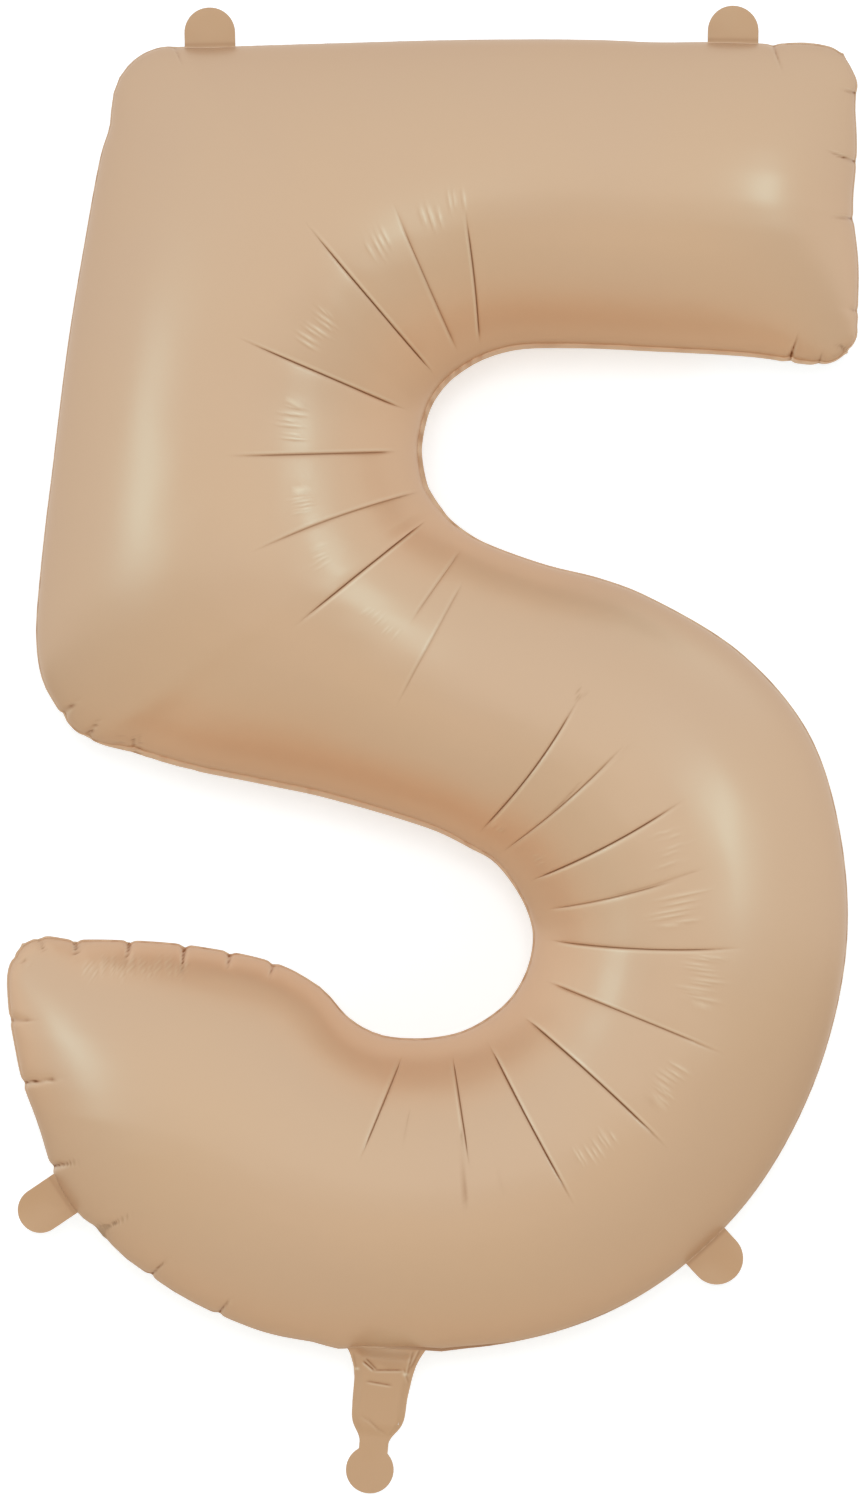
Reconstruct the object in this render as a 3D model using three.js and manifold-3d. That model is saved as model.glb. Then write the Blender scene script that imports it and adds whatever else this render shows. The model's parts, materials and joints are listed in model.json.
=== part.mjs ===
// Foil balloon in the shape of the figure 5, filled.
// Millimetres, +Z up, +X to the right of someone who reads the figure, -Y towards them.
// Two cut films are welded face to face along their outline, and the gas makes a dish of each.

import * as THREE from "three";
import { mergeVertices } from "three/addons/utils/BufferGeometryUtils.js";
import Module from "manifold-3d";

const wasm = await Module();
wasm.setup();

// ---- driving sizes of the filled figure ----
const figureWidth = 497;
const figureHeight = 763;
const barDepth = 180;          // stroke of the top bar
const notchHeight = 112;       // open height between the bar and the bowl
const stemInset = 28;          // the stem's left edge stands this far in from the tip
const stemWidth = 216;
const stemHeight = 407;        // top edge down to the stem's foot
const bowlInset = 8;           // the bar reaches this far past the bowl
const bowlStroke = 184;
const hookHeight = 240;        // bottom edge up to the middle of the lower notch
const baseStroke = 183;        // stroke along the bottom of the bowl
const barEndBow = 6;           // how far the free ends swell past a straight edge
const tipBow = 23;
const barEndReach = 2;         // ribs next to each free end that follow its swell
const tipReach = 3;
const endSquareness = 3;
const fullness = 0.88;         // 1 swells a straight stroke to a full circle

// ---- film and seams ----
const film = 0.8;              // stands for film a twentieth of this
const plyGap = 0.3;            // clearance between two plies that touch
const flangeWidth = 4;         // welded rim all round the outline

// ---- tension creases and edge puckers ----
const creaseDepth = 4.2;
const creaseReach = 0.56;      // share of the stroke that a crease runs across
const creaseStart = 0.12;      // share of the stroke that it takes to deepen
const creaseFull = 0.4;        // share of its reach before it starts to run out
const creaseShoulder = 6;      // half width of a crease, half way across the stroke
const shoulderMost = 0.42;     // as a share of the way to the next rib of the table
const neckStation = 20.5;      // creases before it start at the upper notch
const puckerDepth = 2.2;       // in-plane bite of a pucker in the edge
const puckerDent = 5;
const puckerSpan = 0.2;        // half its length along the edge, in ribs of the table
const dentReach = 0.3;         // share of the stroke that its dent runs in

// ---- mesh of the dishes ----
const ribSpacing = 24;
const ribCrowding = 0.12;      // least way between two ribs, in ribs of the table
const endRibs = [0, 3, 11, 25];    // ribs this far inside the rim of a free end
const rowCount = 12;
const rayCount = 16;
const paceStep = 0.05;
const rimMost = 0.2;           // most of a rib that the rim takes, and least slant it allows for
const slantLeast = 0.45;
const leastDepth = 2;

// ---- hanging tabs ----
const tabWidth = 29.5;
const tabReach = 21.5;
const tabFlare = 2;            // each side widens by this at the root
const flareRun = 2.5;          // and is straight this many flares further down
const flareBend = 0.5;
const tipTabWidth = 26.5;
const tipTabReach = 28.5;
const hingeClearance = 0.3;
const rootSegments = 16;
const flapSegments = 14;
const edgeBand = 12;           // depth of edge that a flap's root clears
const edgeSamples = 8;

// ---- tail, the flat neck that the balloon is filled through ----
const tailLength = 53;
const tailRootWidth = 45;
const tailWidth = 34;
const tailFootWidth = 30.5;
const tailFlare = 8;
const flareCurve = 2;
const tailWeld = 2.6;          // welded margin down each side
const channelRamp = 1.5;
const channelTop = 3.6;        // below the root
const rootRow = 1.5;
const middleRow = 21;
const waistWidth = 15.5;
const waistTaper = 9;
const waistCurve = 1.5;
const waistRows = 4;
const tailLean = 2;            // degrees that it hangs off square to the edge
const endTabRadius = 14;
const endTabNeck = 15.5;       // waist to the middle of the round end tab
const inletRadius = 5;
const inletFromWaist = 17;
const inletSegments = 24;
const cutterSize = 6.4;        // more than the thickness it cuts

// ---- flat self-sealing valve ----
const valveLength = 150;
const valveFilm = 0.8;
const valveGap = 0.3;
const valveSetback = 0.8;      // its square end stands off the curved rim by this much more

// ---- finishes ----
const foilFront = { color: 0xcdaf91, roughness: 0.32, metalness: 0.85 };
const foilBack = { color: 0xc6a888, roughness: 0.32, metalness: 0.85 };
const weldedFoil = { color: 0xbf9670, roughness: 0.38, metalness: 0.8 };
const milkyFilm = { color: 0xd8d4cc, roughness: 0.45, metalness: 0 };

// ---- lines that the outline hangs on ----
const left = -figureWidth / 2;
const right = figureWidth / 2;
const top = figureHeight / 2;
const bottom = -figureHeight / 2;
const barUnder = top - barDepth;
const notchZ = barUnder - notchHeight / 2;
const ledge = barUnder - notchHeight;
const notchX = left + stemInset + stemWidth;
const foot = top - stemHeight;
const bowlRight = right - bowlInset;
const hookX = bowlRight - bowlStroke;
const hookZ = bottom + hookHeight;
const hookUnder = bottom + baseStroke;

// Ribs cross the stroke from one edge of the figure to the other, so both edges run through
// their ends: [x, z] on the edge that starts along the top, [x, z] on the edge that starts
// under the bar, and whether a crease follows the rib.
const ribTable = [
  // bar
  [right - 8.5, top - 6, right - 5.5, barUnder - 4.5],
  [right - 26.5, top - 2, right - 23.5, barUnder - 9],
  [right - 70, top - 1.5, right - 64, barUnder - 4.5],
  [right - 128, top - 0.5, right - 116.5, barUnder - 1.5],
  [notchX + 61, top, notchX + 78, barUnder],
  [notchX + 11, top - 0.5, notchX + 34, barUnder - 7, "crease"],
  [left + 183.5, top - 2.5, notchX + 17, barUnder - 16.5, "crease"],
  // top left corner
  [left + 113, top - 4.5, notchX + 12, barUnder - 22.5],
  [left + 87, top - 4.5, notchX + 9, barUnder - 25.5, "crease"],
  [left + 65.5, top - 22.5, notchX + 6, barUnder - 29.5],
  [left + 57, top - 58.5, notchX + 4, barUnder - 34],
  // stem
  [left + 42.5, top - 133.5, notchX + 1.5, notchZ + 15, "crease"],
  [left + stemInset, notchZ - 8, notchX, notchZ - 3, "crease"],
  [left + 17, foot + 58, notchX + 2, notchZ - 23, "crease"],
  // foot of the stem
  [left + 26.5, foot + 23, notchX + 5, notchZ - 29],
  [left + 50.5, foot, notchX + 7.5, notchZ - 33],
  [left + 72.5, foot - 7, notchX + 9, ledge + 20, "crease"],
  [left + 113, foot - 18.5, notchX + 15.5, ledge + 14],
  [left + 169.5, foot - 28.5, notchX + 26, ledge + 6, "crease"],
  [left + 197.5, foot - 36.5, notchX + 34.5, ledge, "crease"],
  // neck between the two notches
  [hookX - 75.5, foot - 46, notchX + 69.5, ledge - 13],
  [hookX - 52.5, foot - 54, notchX + 101.5, ledge - 21],
  // bowl, fanning out of the lower notch
  [hookX - 35, foot - 63, notchX + 128, ledge - 31, "crease"],
  [hookX - 22, hookZ + 45.5, bowlRight - 61.5, ledge - 64.5, "crease"],
  [hookX - 9.5, hookZ + 29.5, bowlRight - 22.5, ledge - 110.5, "crease"],
  [hookX - 2, hookZ + 13, bowlRight - 4, hookZ + 62.5, "crease"],
  [hookX, hookZ, bowlRight - 0.5, hookZ - 7, "crease"],
  [hookX - 4, hookZ - 19.5, bowlRight - 21, hookZ - 88, "crease"],
  [hookX - 13.5, hookZ - 35.5, bowlRight - 63.5, bottom + 81, "crease"],
  [hookX - 30, hookUnder + 8.5, hookX + 55.5, bottom + 28.5, "crease"],
  [hookX - 46, hookUnder + 2, hookX - 28, bottom + 3.5, "crease"],
  [hookX - 70.5, hookUnder + 0.5, left + 163, bottom + 9, "crease"],
  // tip
  [hookX - 104.5, hookUnder + 13, left + 124.5, bottom + 22],
  [left + 165.5, hookZ - 17, left + 101.5, bottom + 33.5],
  [left + 113, hookZ - 4, left + 84, bottom + 45],
  [left + 61, hookZ, left + 69.5, bottom + 55.5],
  [left + 8.5, hookZ - 1, left + 59.5, bottom + 65.5],
];
const lastStation = ribTable.length - 1;
const creaseStations = ribTable.flatMap((rib, station) => (rib[4] === "crease" ? [station] : []));

// Puckers bite into the edge, at a station along the "over" edge or the "under" edge.
const puckers = [
  { edge: "over", station: 1.6 },
  { edge: "over", station: 7.5 },
  { edge: "over", station: 14.5 },
  { edge: "over", station: 15.4 },
  { edge: "over", station: 33.4 },
  { edge: "over", station: 34.2 },
  { edge: "over", station: 34.8 },
  { edge: "over", station: 35.4 },
  { edge: "under", station: 0.9 },
  { edge: "under", station: 31.9 },
  { edge: "under", station: 33.3 },
  { edge: "under", station: 35.2 },
];

const edgeCurve = (column) => new THREE.CatmullRomCurve3(
  ribTable.map((rib) => new THREE.Vector3(rib[column], 0, rib[column + 1])),
  false,
  "centripetal",
);
const overEdge = edgeCurve(0);
const underEdge = edgeCurve(2);

// ---- plain helpers ----
const smooth = (value) => {
  const clamped = THREE.MathUtils.clamp(value, 0, 1);
  return clamped * clamped * (3 - 2 * clamped);
};

function ribEnds(station) {
  return [
    overEdge.getPoint(station / lastStation),
    underEdge.getPoint(station / lastStation),
  ];
}

// The free ends of the stroke swell, and the ribs next to them follow less and less.
function ribPoint(station, across) {
  const [over, under] = ribEnds(station);
  const point = over.clone().lerp(under, across);
  const nearBarEnd = barEndBow * (1 - smooth(station / barEndReach));
  const nearTip = tipBow * (1 - smooth((lastStation - station) / tipReach));
  const swell = (nearTip - nearBarEnd) * (1 - Math.abs(2 * across - 1) ** endSquareness);
  const along = under.clone().sub(over).normalize();
  point.x += swell * along.z;
  point.z -= swell * along.x;
  return point;
}

function puckerAt(station, edge) {
  let bite = 0;
  for (const pucker of puckers) {
    if (pucker.edge === edge) {
      const away = Math.abs(station - pucker.station) / puckerSpan;
      bite = Math.max(bite, 1 - smooth(away));
    }
  }
  return bite;
}

// Stations where a rib is drawn: three to a crease, one to a pucker, close together at the
// two free ends, and the rest about one rib spacing apart.
function ribStations() {
  const middle = (station) => ribPoint(station, 0.5);
  const pace = (station) => {
    const from = Math.max(0, station - paceStep);
    const to = Math.min(lastStation, station + paceStep);
    return middle(from).distanceTo(middle(to)) / (to - from);
  };
  const fixed = [0, lastStation];
  for (const inset of endRibs) {
    fixed.push((flangeWidth + inset) / pace(0));
    fixed.push(lastStation - (flangeWidth + inset) / pace(lastStation));
  }
  for (const station of creaseStations) {
    const shoulder = Math.min(shoulderMost, creaseShoulder / pace(station));
    fixed.push(station - shoulder, station, station + shoulder);
  }
  for (const pucker of puckers) {
    const clear = fixed.every((station) => Math.abs(station - pucker.station) > ribCrowding);
    if (clear) {
      fixed.push(pucker.station);
    }
  }
  fixed.sort((a, b) => a - b);
  const stations = [fixed[0]];
  for (let k = 1; k < fixed.length; k += 1) {
    const from = fixed[k - 1];
    const span = middle(from).distanceTo(middle(fixed[k]));
    const steps = Math.max(1, Math.round(span / ribSpacing));
    for (let step = 1; step <= steps; step += 1) {
      stations.push(THREE.MathUtils.lerp(from, fixed[k], step / steps));
    }
  }
  return stations;
}

// Share of the rib that the welded rim takes at one of its ends, where the rib meets the
// edge at a slant.
function rimShare(station, curve, length, ribDirection) {
  const tangent = curve.getTangent(station / lastStation);
  const square = Math.abs(tangent.x * ribDirection.z - tangent.z * ribDirection.x);
  return Math.min(rimMost, flangeWidth / (length * Math.max(slantLeast, square)));
}

// Depth of a film pressed out by gas over a flat outline. Every chord through the point gives
// the product of its two parts, and their harmonic mean is exact for a long strip (a circle
// in section), a disc and an ellipse.
function gasDepth(point, loop) {
  let inverse = 0;
  for (let ray = 0; ray < rayCount; ray += 1) {
    const angle = (Math.PI * (ray + 0.5)) / rayCount;
    const dx = Math.cos(angle);
    const dz = Math.sin(angle);
    let ahead = Infinity;
    let behind = Infinity;
    for (let k = 0; k < loop.length; k += 1) {
      const from = loop[k];
      const to = loop[(k + 1) % loop.length];
      const ex = to.x - from.x;
      const ez = to.z - from.z;
      const cross = dx * ez - dz * ex;
      if (Math.abs(cross) > 1e-9) {
        const share = (dz * (from.x - point.x) - dx * (from.z - point.z)) / cross;
        if (share >= 0 && share <= 1) {
          const reach = ((from.x - point.x) * ez - (from.z - point.z) * ex) / cross;
          if (reach > 0) {
            ahead = Math.min(ahead, reach);
          } else {
            behind = Math.min(behind, -reach);
          }
        }
      }
    }
    inverse += 1 / Math.max(1e-6, ahead * behind);
  }
  return Math.sqrt(rayCount / inverse / 2);
}

// How far a crease along this rib pulls the film in. It starts at the notch, runs out part
// way across the stroke, and is deepest a little way out.
function creasePull(station, across) {
  if (!creaseStations.includes(station)) {
    return 0;
  }
  const fromNotch = station < neckStation ? 1 - across : across;
  const start = smooth(fromNotch / creaseStart);
  const beyondFull = fromNotch / creaseReach - creaseFull;
  const runOut = 1 - smooth(beyondFull / (1 - creaseFull));
  return creaseDepth * start * runOut;
}

// Grid of points across one face of the figure: flat along the welded rim, deep inside it.
function dishGrid() {
  const stations = ribStations();
  const lastRib = stations.length - 1;
  const acrossSteps = [0];
  for (let row = 0; row <= rowCount; row += 1) {
    acrossSteps.push((1 - Math.cos((Math.PI * row) / rowCount)) / 2);
  }
  acrossSteps.push(1);
  const lastRow = acrossSteps.length - 1;
  const grid = stations.map((station) => {
    const [over, under] = ribEnds(station);
    const length = over.distanceTo(under);
    const direction = under.clone().sub(over).normalize();
    const overRim = rimShare(station, overEdge, length, direction);
    const underRim = rimShare(station, underEdge, length, direction);
    return acrossSteps.map((step, row) => {
      if (row === 0 || row === lastRow) {
        const bite = puckerDepth * puckerAt(station, row === 0 ? "over" : "under");
        return ribPoint(station, row === 0 ? bite / length : 1 - bite / length);
      }
      return ribPoint(station, overRim + step * (1 - overRim - underRim));
    });
  });
  const loop = [];
  for (let rib = 1; rib < lastRib; rib += 1) {
    loop.push(grid[rib][1]);
  }
  for (let row = 2; row < lastRow - 1; row += 1) {
    loop.push(grid[lastRib - 1][row]);
  }
  for (let rib = lastRib - 1; rib > 0; rib -= 1) {
    loop.push(grid[rib][lastRow - 1]);
  }
  for (let row = lastRow - 2; row > 1; row -= 1) {
    loop.push(grid[1][row]);
  }
  grid.forEach((rib, index) => {
    const station = stations[index];
    rib.forEach((point, row) => {
      const insideRows = row > 1 && row < lastRow - 1;
      const insideRibs = index > 1 && index < lastRib - 1;
      point.isDish = insideRows && insideRibs;
      if (point.isDish) {
        const across = acrossSteps[row];
        const overDent = puckerAt(station, "over") * (1 - smooth(across / dentReach));
        const underDent = puckerAt(station, "under") * (1 - smooth((1 - across) / dentReach));
        const dent = puckerDent * Math.max(overDent, underDent);
        const depth = fullness * gasDepth(point, loop);
        point.depth = Math.max(leastDepth, depth - dent - creasePull(station, across));
      }
    });
  });
  return grid;
}

// Closed body between an outside grid and an inside grid of the same size. The outside faces
// along the cross product of its rib and row directions.
function bodyBetween(outside, inside) {
  const ribs = outside.length;
  const rows = outside[0].length;
  const positions = [];
  for (const grid of [outside, inside]) {
    for (const rib of grid) {
      for (const point of rib) {
        positions.push(point.x, point.y, point.z);
      }
    }
  }
  const at = (layer, rib, row) => layer * ribs * rows + rib * rows + row;
  const faces = [];
  const quad = (a, b, c, d) => faces.push(a, b, c, a, c, d);
  for (let rib = 0; rib < ribs - 1; rib += 1) {
    for (let row = 0; row < rows - 1; row += 1) {
      quad(at(0, rib, row), at(0, rib + 1, row), at(0, rib + 1, row + 1), at(0, rib, row + 1));
      quad(at(1, rib, row), at(1, rib, row + 1), at(1, rib + 1, row + 1), at(1, rib + 1, row));
    }
  }
  for (let rib = 0; rib < ribs - 1; rib += 1) {
    quad(at(0, rib, 0), at(1, rib, 0), at(1, rib + 1, 0), at(0, rib + 1, 0));
    const end = rows - 1;
    quad(at(0, rib + 1, end), at(1, rib + 1, end), at(1, rib, end), at(0, rib, end));
  }
  for (let row = 0; row < rows - 1; row += 1) {
    quad(at(0, 0, row + 1), at(1, 0, row + 1), at(1, 0, row), at(0, 0, row));
    const end = ribs - 1;
    quad(at(0, end, row), at(1, end, row), at(1, end, row + 1), at(0, end, row + 1));
  }
  const geometry = new THREE.BufferGeometry();
  geometry.setAttribute("position", new THREE.Float32BufferAttribute(positions, 3));
  geometry.setIndex(faces);
  return geometry;
}

// Mirrors a body through the seam plane and turns its faces out again.
function mirrored(geometry) {
  const copy = geometry.clone();
  copy.scale(1, -1, 1);
  const index = copy.getIndex();
  for (let k = 0; k < index.count; k += 3) {
    const second = index.getX(k + 1);
    index.setX(k + 1, index.getX(k + 2));
    index.setX(k + 2, second);
  }
  return copy;
}

// ---- film panels ----
function frontPanelGeometry(grid) {
  const face = -(plyGap / 2 + film);
  const outside = grid.map((rib) => rib.map((point) => {
    const y = point.isDish ? face - point.depth : face;
    return new THREE.Vector3(point.x, y, point.z);
  }));
  const lastRib = outside.length - 1;
  const lastRow = outside[0].length - 1;
  const inside = outside.map((rib, index) => rib.map((point, row) => {
    const onRim = index === 0 || row === 0 || index === lastRib || row === lastRow;
    if (onRim) {
      return new THREE.Vector3(point.x, -plyGap / 2, point.z);
    }
    const inward = new THREE.Vector3();
    if (!grid[index][row].isDish) {
      inward.x += index === 1 ? outside[2][row].x - point.x : 0;
      inward.z += index === 1 ? outside[2][row].z - point.z : 0;
      inward.x += index === lastRib - 1 ? outside[lastRib - 2][row].x - point.x : 0;
      inward.z += index === lastRib - 1 ? outside[lastRib - 2][row].z - point.z : 0;
      inward.x += row === 1 ? rib[2].x - point.x : 0;
      inward.z += row === 1 ? rib[2].z - point.z : 0;
      inward.x += row === lastRow - 1 ? rib[lastRow - 2].x - point.x : 0;
      inward.z += row === lastRow - 1 ? rib[lastRow - 2].z - point.z : 0;
      inward.setLength(film);
      return new THREE.Vector3(point.x + inward.x, -plyGap / 2, point.z + inward.z);
    }
    const alongRibs = outside[index + 1][row].clone().sub(outside[index - 1][row]);
    const alongRows = rib[row + 1].clone().sub(rib[row - 1]);
    inward.crossVectors(alongRows, alongRibs).setLength(film);
    return point.clone().add(inward);
  }));
  return bodyBetween(outside, inside);
}

// ---- solids that the boolean library joins and cuts ----
function toSolid(geometry) {
  const bare = geometry.clone();
  bare.deleteAttribute("normal");
  bare.deleteAttribute("uv");
  const merged = mergeVertices(bare, 1e-4);
  const index = merged.getIndex();
  return new wasm.Manifold(new wasm.Mesh({
    numProp: 3,
    vertProperties: new Float32Array(merged.getAttribute("position").array),
    triVerts: new Uint32Array(index.array),
  }));
}

function fromSolid(solid) {
  const mesh = solid.getMesh();
  const geometry = new THREE.BufferGeometry();
  geometry.setAttribute("position", new THREE.BufferAttribute(mesh.vertProperties, 3));
  geometry.setIndex(new THREE.BufferAttribute(mesh.triVerts, 1));
  return geometry;
}

// Round root of a flap, along local X, that turns on its own axis.
function rootBarrel(width, radius) {
  const barrel = new THREE.CylinderGeometry(radius, radius, width, rootSegments);
  barrel.rotateZ(Math.PI / 2);
  return barrel;
}

// ---- flat welded flaps: local X along the hinge, local Z away from it ----
function flapGeometry(width, reach, flare, thickness) {
  const radius = width / 2;
  const outline = new THREE.Shape();
  outline.moveTo(-radius - flare, 0);
  outline.lineTo(radius + flare, 0);
  outline.quadraticCurveTo(radius, flareBend * flare, radius, flareRun * flare);
  outline.lineTo(radius, reach - radius);
  outline.absarc(0, reach - radius, radius, 0, Math.PI, false);
  outline.lineTo(-radius, flareRun * flare);
  outline.quadraticCurveTo(-radius, flareBend * flare, -radius - flare, 0);
  return extrudedFlap(outline, width + 2 * flare, thickness);
}

function endTabGeometry(thickness) {
  const outline = new THREE.Shape();
  const half = waistWidth / 2;
  const meet = Math.asin(half / endTabRadius);
  outline.moveTo(-half, 0);
  outline.lineTo(half, 0);
  outline.lineTo(half, endTabNeck - endTabRadius * Math.cos(meet));
  outline.absarc(0, endTabNeck, endTabRadius, meet - Math.PI / 2, 1.5 * Math.PI - meet, false);
  outline.lineTo(-half, 0);
  return extrudedFlap(outline, waistWidth, thickness);
}

function extrudedFlap(outline, rootWidth, thickness) {
  const plate = new THREE.ExtrudeGeometry(outline, {
    depth: thickness,
    bevelEnabled: false,
    curveSegments: flapSegments,
  });
  plate.rotateX(Math.PI / 2);
  plate.translate(0, thickness / 2, 0);
  const solid = toSolid(plate).add(toSolid(rootBarrel(rootWidth, thickness / 2)));
  return fromSolid(solid);
}

// ---- tail: two films welded down their sides, with a raised channel between them ----
const channelGap = 2 * valveFilm + valveGap + 2 * plyGap;
const channelRise = (channelGap - plyGap) / 2;
const channelShare = 1 - (2 * (tailWeld + channelRamp)) / tailWidth;
const valveWidth = Math.min(tailWidth, tailFootWidth) * channelShare - 2 * valveGap;

function tailHalfWidth(down) {
  const rootFlare = (tailRootWidth - tailWidth) / 2;
  const flare = rootFlare * (1 - smooth(down / tailFlare)) ** flareCurve;
  const body = THREE.MathUtils.lerp(tailWidth, tailFootWidth, down / tailLength) / 2;
  const intoWaist = 1 - smooth((tailLength - down) / waistTaper);
  return THREE.MathUtils.lerp(body + flare, waistWidth / 2, intoWaist ** waistCurve);
}

function tailFilmGeometry() {
  const channelFoot = tailLength - waistTaper;
  const downs = [0, rootRow, channelTop, channelTop + channelRamp, tailFlare, middleRow];
  downs.push(channelFoot - channelRamp, channelFoot);
  for (let step = 1; step <= waistRows; step += 1) {
    downs.push(channelFoot + (waistTaper * step) / waistRows);
  }
  const grids = [plyGap / 2 + film, plyGap / 2].map((offset) => downs.map((down) => {
    const half = tailHalfWidth(down);
    const weld = half * (tailWeld / (tailWidth / 2));
    const ramp = half * (channelRamp / (tailWidth / 2));
    const columns = [half, half - weld, half - weld - ramp, 0];
    columns.push(-half + weld + ramp, -half + weld, -half);
    const raised = down > channelTop && down < channelFoot;
    return columns.map((across, column) => {
      const lift = raised && column > 1 && column < 5 ? channelRise : 0;
      return new THREE.Vector3(across, -(offset + lift), down);
    });
  }));
  const sheet = toSolid(bodyBetween(grids[0], grids[1]));
  const root = toSolid(rootBarrel(2 * tailHalfWidth(0) - film, plyGap / 2 + film));
  const otherPly = new THREE.BoxGeometry(2 * tailRootWidth, cutterSize, cutterSize);
  otherPly.translate(0, (cutterSize - plyGap) / 2, 0);
  const belowRoot = new THREE.BoxGeometry(2 * tailRootWidth, cutterSize, cutterSize);
  belowRoot.translate(0, 0, (cutterSize + film) / 2);
  const roll = root.subtract(toSolid(otherPly)).subtract(toSolid(belowRoot));
  return sheet.add(roll);
}

function inletCutter() {
  const radius = inletRadius;
  const cutter = new THREE.CylinderGeometry(radius, radius, cutterSize, inletSegments);
  cutter.translate(0, -cutterSize / 2, tailLength - inletFromWaist);
  return toSolid(cutter);
}

function stripGeometry(width, from, to, nearFace) {
  const strip = new THREE.BoxGeometry(width, valveFilm, to - from);
  strip.translate(0, nearFace - valveFilm / 2, (from + to) / 2);
  return strip;
}

// ---- places on the outline ----
const toFrame = (origin, outward) => ({
  origin,
  angle: Math.atan2(outward.x, outward.z),
});

// Frame for a flap: its root lies along the edge and clears the edge's highest point there.
function seatOnEdge(loop, point, outward, width, clearance) {
  const along = new THREE.Vector3(outward.z, 0, -outward.x);
  let highest = -Infinity;
  loop.forEach((from, k) => {
    const to = loop[(k + 1) % loop.length];
    for (let step = 0; step <= edgeSamples; step += 1) {
      const sample = from.clone().lerp(to, step / edgeSamples).sub(point);
      if (Math.abs(sample.dot(along)) < width / 2 && sample.dot(outward) > -edgeBand) {
        highest = Math.max(highest, sample.dot(outward));
      }
    }
  });
  return toFrame(point.clone().addScaledVector(outward, highest + clearance), outward);
}

function outwardFromEdge(curve, station) {
  const tangent = curve.getTangent(station / lastStation);
  const side = curve === overEdge ? 1 : -1;
  return new THREE.Vector3(side * tangent.z, 0, -side * tangent.x).normalize();
}

function outwardFromTip(across) {
  const ahead = ribPoint(lastStation, across + paceStep);
  const back = ribPoint(lastStation, across - paceStep);
  const tangent = ahead.sub(back).normalize();
  return new THREE.Vector3(tangent.z, 0, -tangent.x);
}

// ---- assembly ----
const grid = dishGrid();
const outlineLoop = [
  ...grid.map((rib) => rib[0]),
  ...grid[grid.length - 1].slice(1),
  ...grid.slice(0, -1).reverse().map((rib) => rib[rib.length - 1]),
  ...grid[0].slice(1, -1).reverse(),
].map((point) => new THREE.Vector3(point.x, 0, point.z));

const balloon = new THREE.Group();
const figure = new THREE.Group();
balloon.add(figure);

function addPiece(parent, name, geometry, finish) {
  const mesh = new THREE.Mesh(geometry, new THREE.MeshStandardMaterial(finish));
  mesh.name = name;
  geometry.computeVertexNormals();
  parent.add(mesh);
  return mesh;
}

function groupAt(parent, frame) {
  const group = new THREE.Group();
  group.position.copy(frame.origin);
  group.rotation.y = frame.angle;
  parent.add(group);
  return group;
}

const frontPanel = frontPanelGeometry(grid);
addPiece(figure, "front_panel", frontPanel, foilFront);
addPiece(figure, "back_panel", mirrored(frontPanel), foilBack);

// Hanging tabs: both plies welded into one flap.
const tabThickness = 2 * film;
const tabClearance = hingeClearance + tabThickness / 2;
const tabPlaces = {
  tab_top_left: { curve: overEdge, station: 6.92, reach: tabReach },
  tab_top_right: { curve: overEdge, station: 2.05, reach: tabReach },
  tab_lower_right: { curve: underEdge, station: 28.32, reach: tabReach },
};
for (const [name, place] of Object.entries(tabPlaces)) {
  const point = place.curve.getPoint(place.station / lastStation);
  const outward = outwardFromEdge(place.curve, place.station);
  const width = tabWidth + 2 * tabFlare;
  const seat = seatOnEdge(outlineLoop, point, outward, width, tabClearance);
  const tab = flapGeometry(tabWidth, place.reach, tabFlare, tabThickness);
  addPiece(groupAt(figure, seat), name, tab, weldedFoil);
}
const tipTabAcross = 0.82;
const tipSeat = seatOnEdge(
  outlineLoop,
  ribPoint(lastStation, tipTabAcross),
  outwardFromTip(tipTabAcross),
  tipTabWidth + 2 * tabFlare,
  tabClearance,
);
const tipTab = flapGeometry(tipTabWidth, tipTabReach, tabFlare, tabThickness);
addPiece(groupAt(figure, tipSeat), "tab_lower_left", tipTab, weldedFoil);

// Tail, its round end tab, and the part of the valve that lies in the tail.
const tailStation = 30.47;
const tailPoint = underEdge.getPoint(tailStation / lastStation);
const tailOutward = outwardFromEdge(underEdge, tailStation);
const upright = new THREE.Vector3(0, 1, 0);
const tailDown = tailOutward.clone().applyAxisAngle(upright, THREE.MathUtils.degToRad(tailLean));
const tailRootRadius = plyGap / 2 + film;
const tailSeat = seatOnEdge(
  outlineLoop,
  tailPoint,
  tailDown,
  tailRootWidth,
  hingeClearance + tailRootRadius,
);
const tail = groupAt(figure, tailSeat);
const tailFilm = tailFilmGeometry();
addPiece(tail, "tail_front_film", fromSolid(tailFilm), weldedFoil);
const tailBack = mirrored(fromSolid(tailFilm.subtract(inletCutter())));
addPiece(tail, "tail_back_film", tailBack, weldedFoil);
const endTabSeat = toFrame(
  new THREE.Vector3(0, 0, tailLength + hingeClearance + tailRootRadius),
  new THREE.Vector3(0, 0, 1),
);
const endTab = endTabGeometry(2 * tailRootRadius);
addPiece(groupAt(tail, endTabSeat), "tail_end_tab", endTab, weldedFoil);

const neckFrom = tailFlare + plyGap;
const neckTo = tailLength - waistTaper - channelRamp - plyGap;
const neckStrip = stripGeometry(valveWidth, neckFrom, neckTo, -valveGap / 2);
const neckBack = mirrored(fromSolid(toSolid(neckStrip).subtract(inletCutter())));
addPiece(tail, "neck_valve_front_film", neckStrip, milkyFilm);
addPiece(tail, "neck_valve_back_film", neckBack, milkyFilm);

// The rest of the valve, flat inside the bowl above the tail.
const mouth = seatOnEdge(outlineLoop, tailPoint, tailOutward, valveWidth, 0);
const valve = groupAt(figure, toFrame(mouth.origin, tailOutward.clone().negate()));
const valveFrom = flangeWidth + film + plyGap + valveSetback;
const valveStrip = stripGeometry(valveWidth, valveFrom, valveFrom + valveLength, -valveGap / 2);
addPiece(valve, "valve_front_film", valveStrip, milkyFilm);
addPiece(valve, "valve_back_film", mirrored(valveStrip), milkyFilm);

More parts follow.
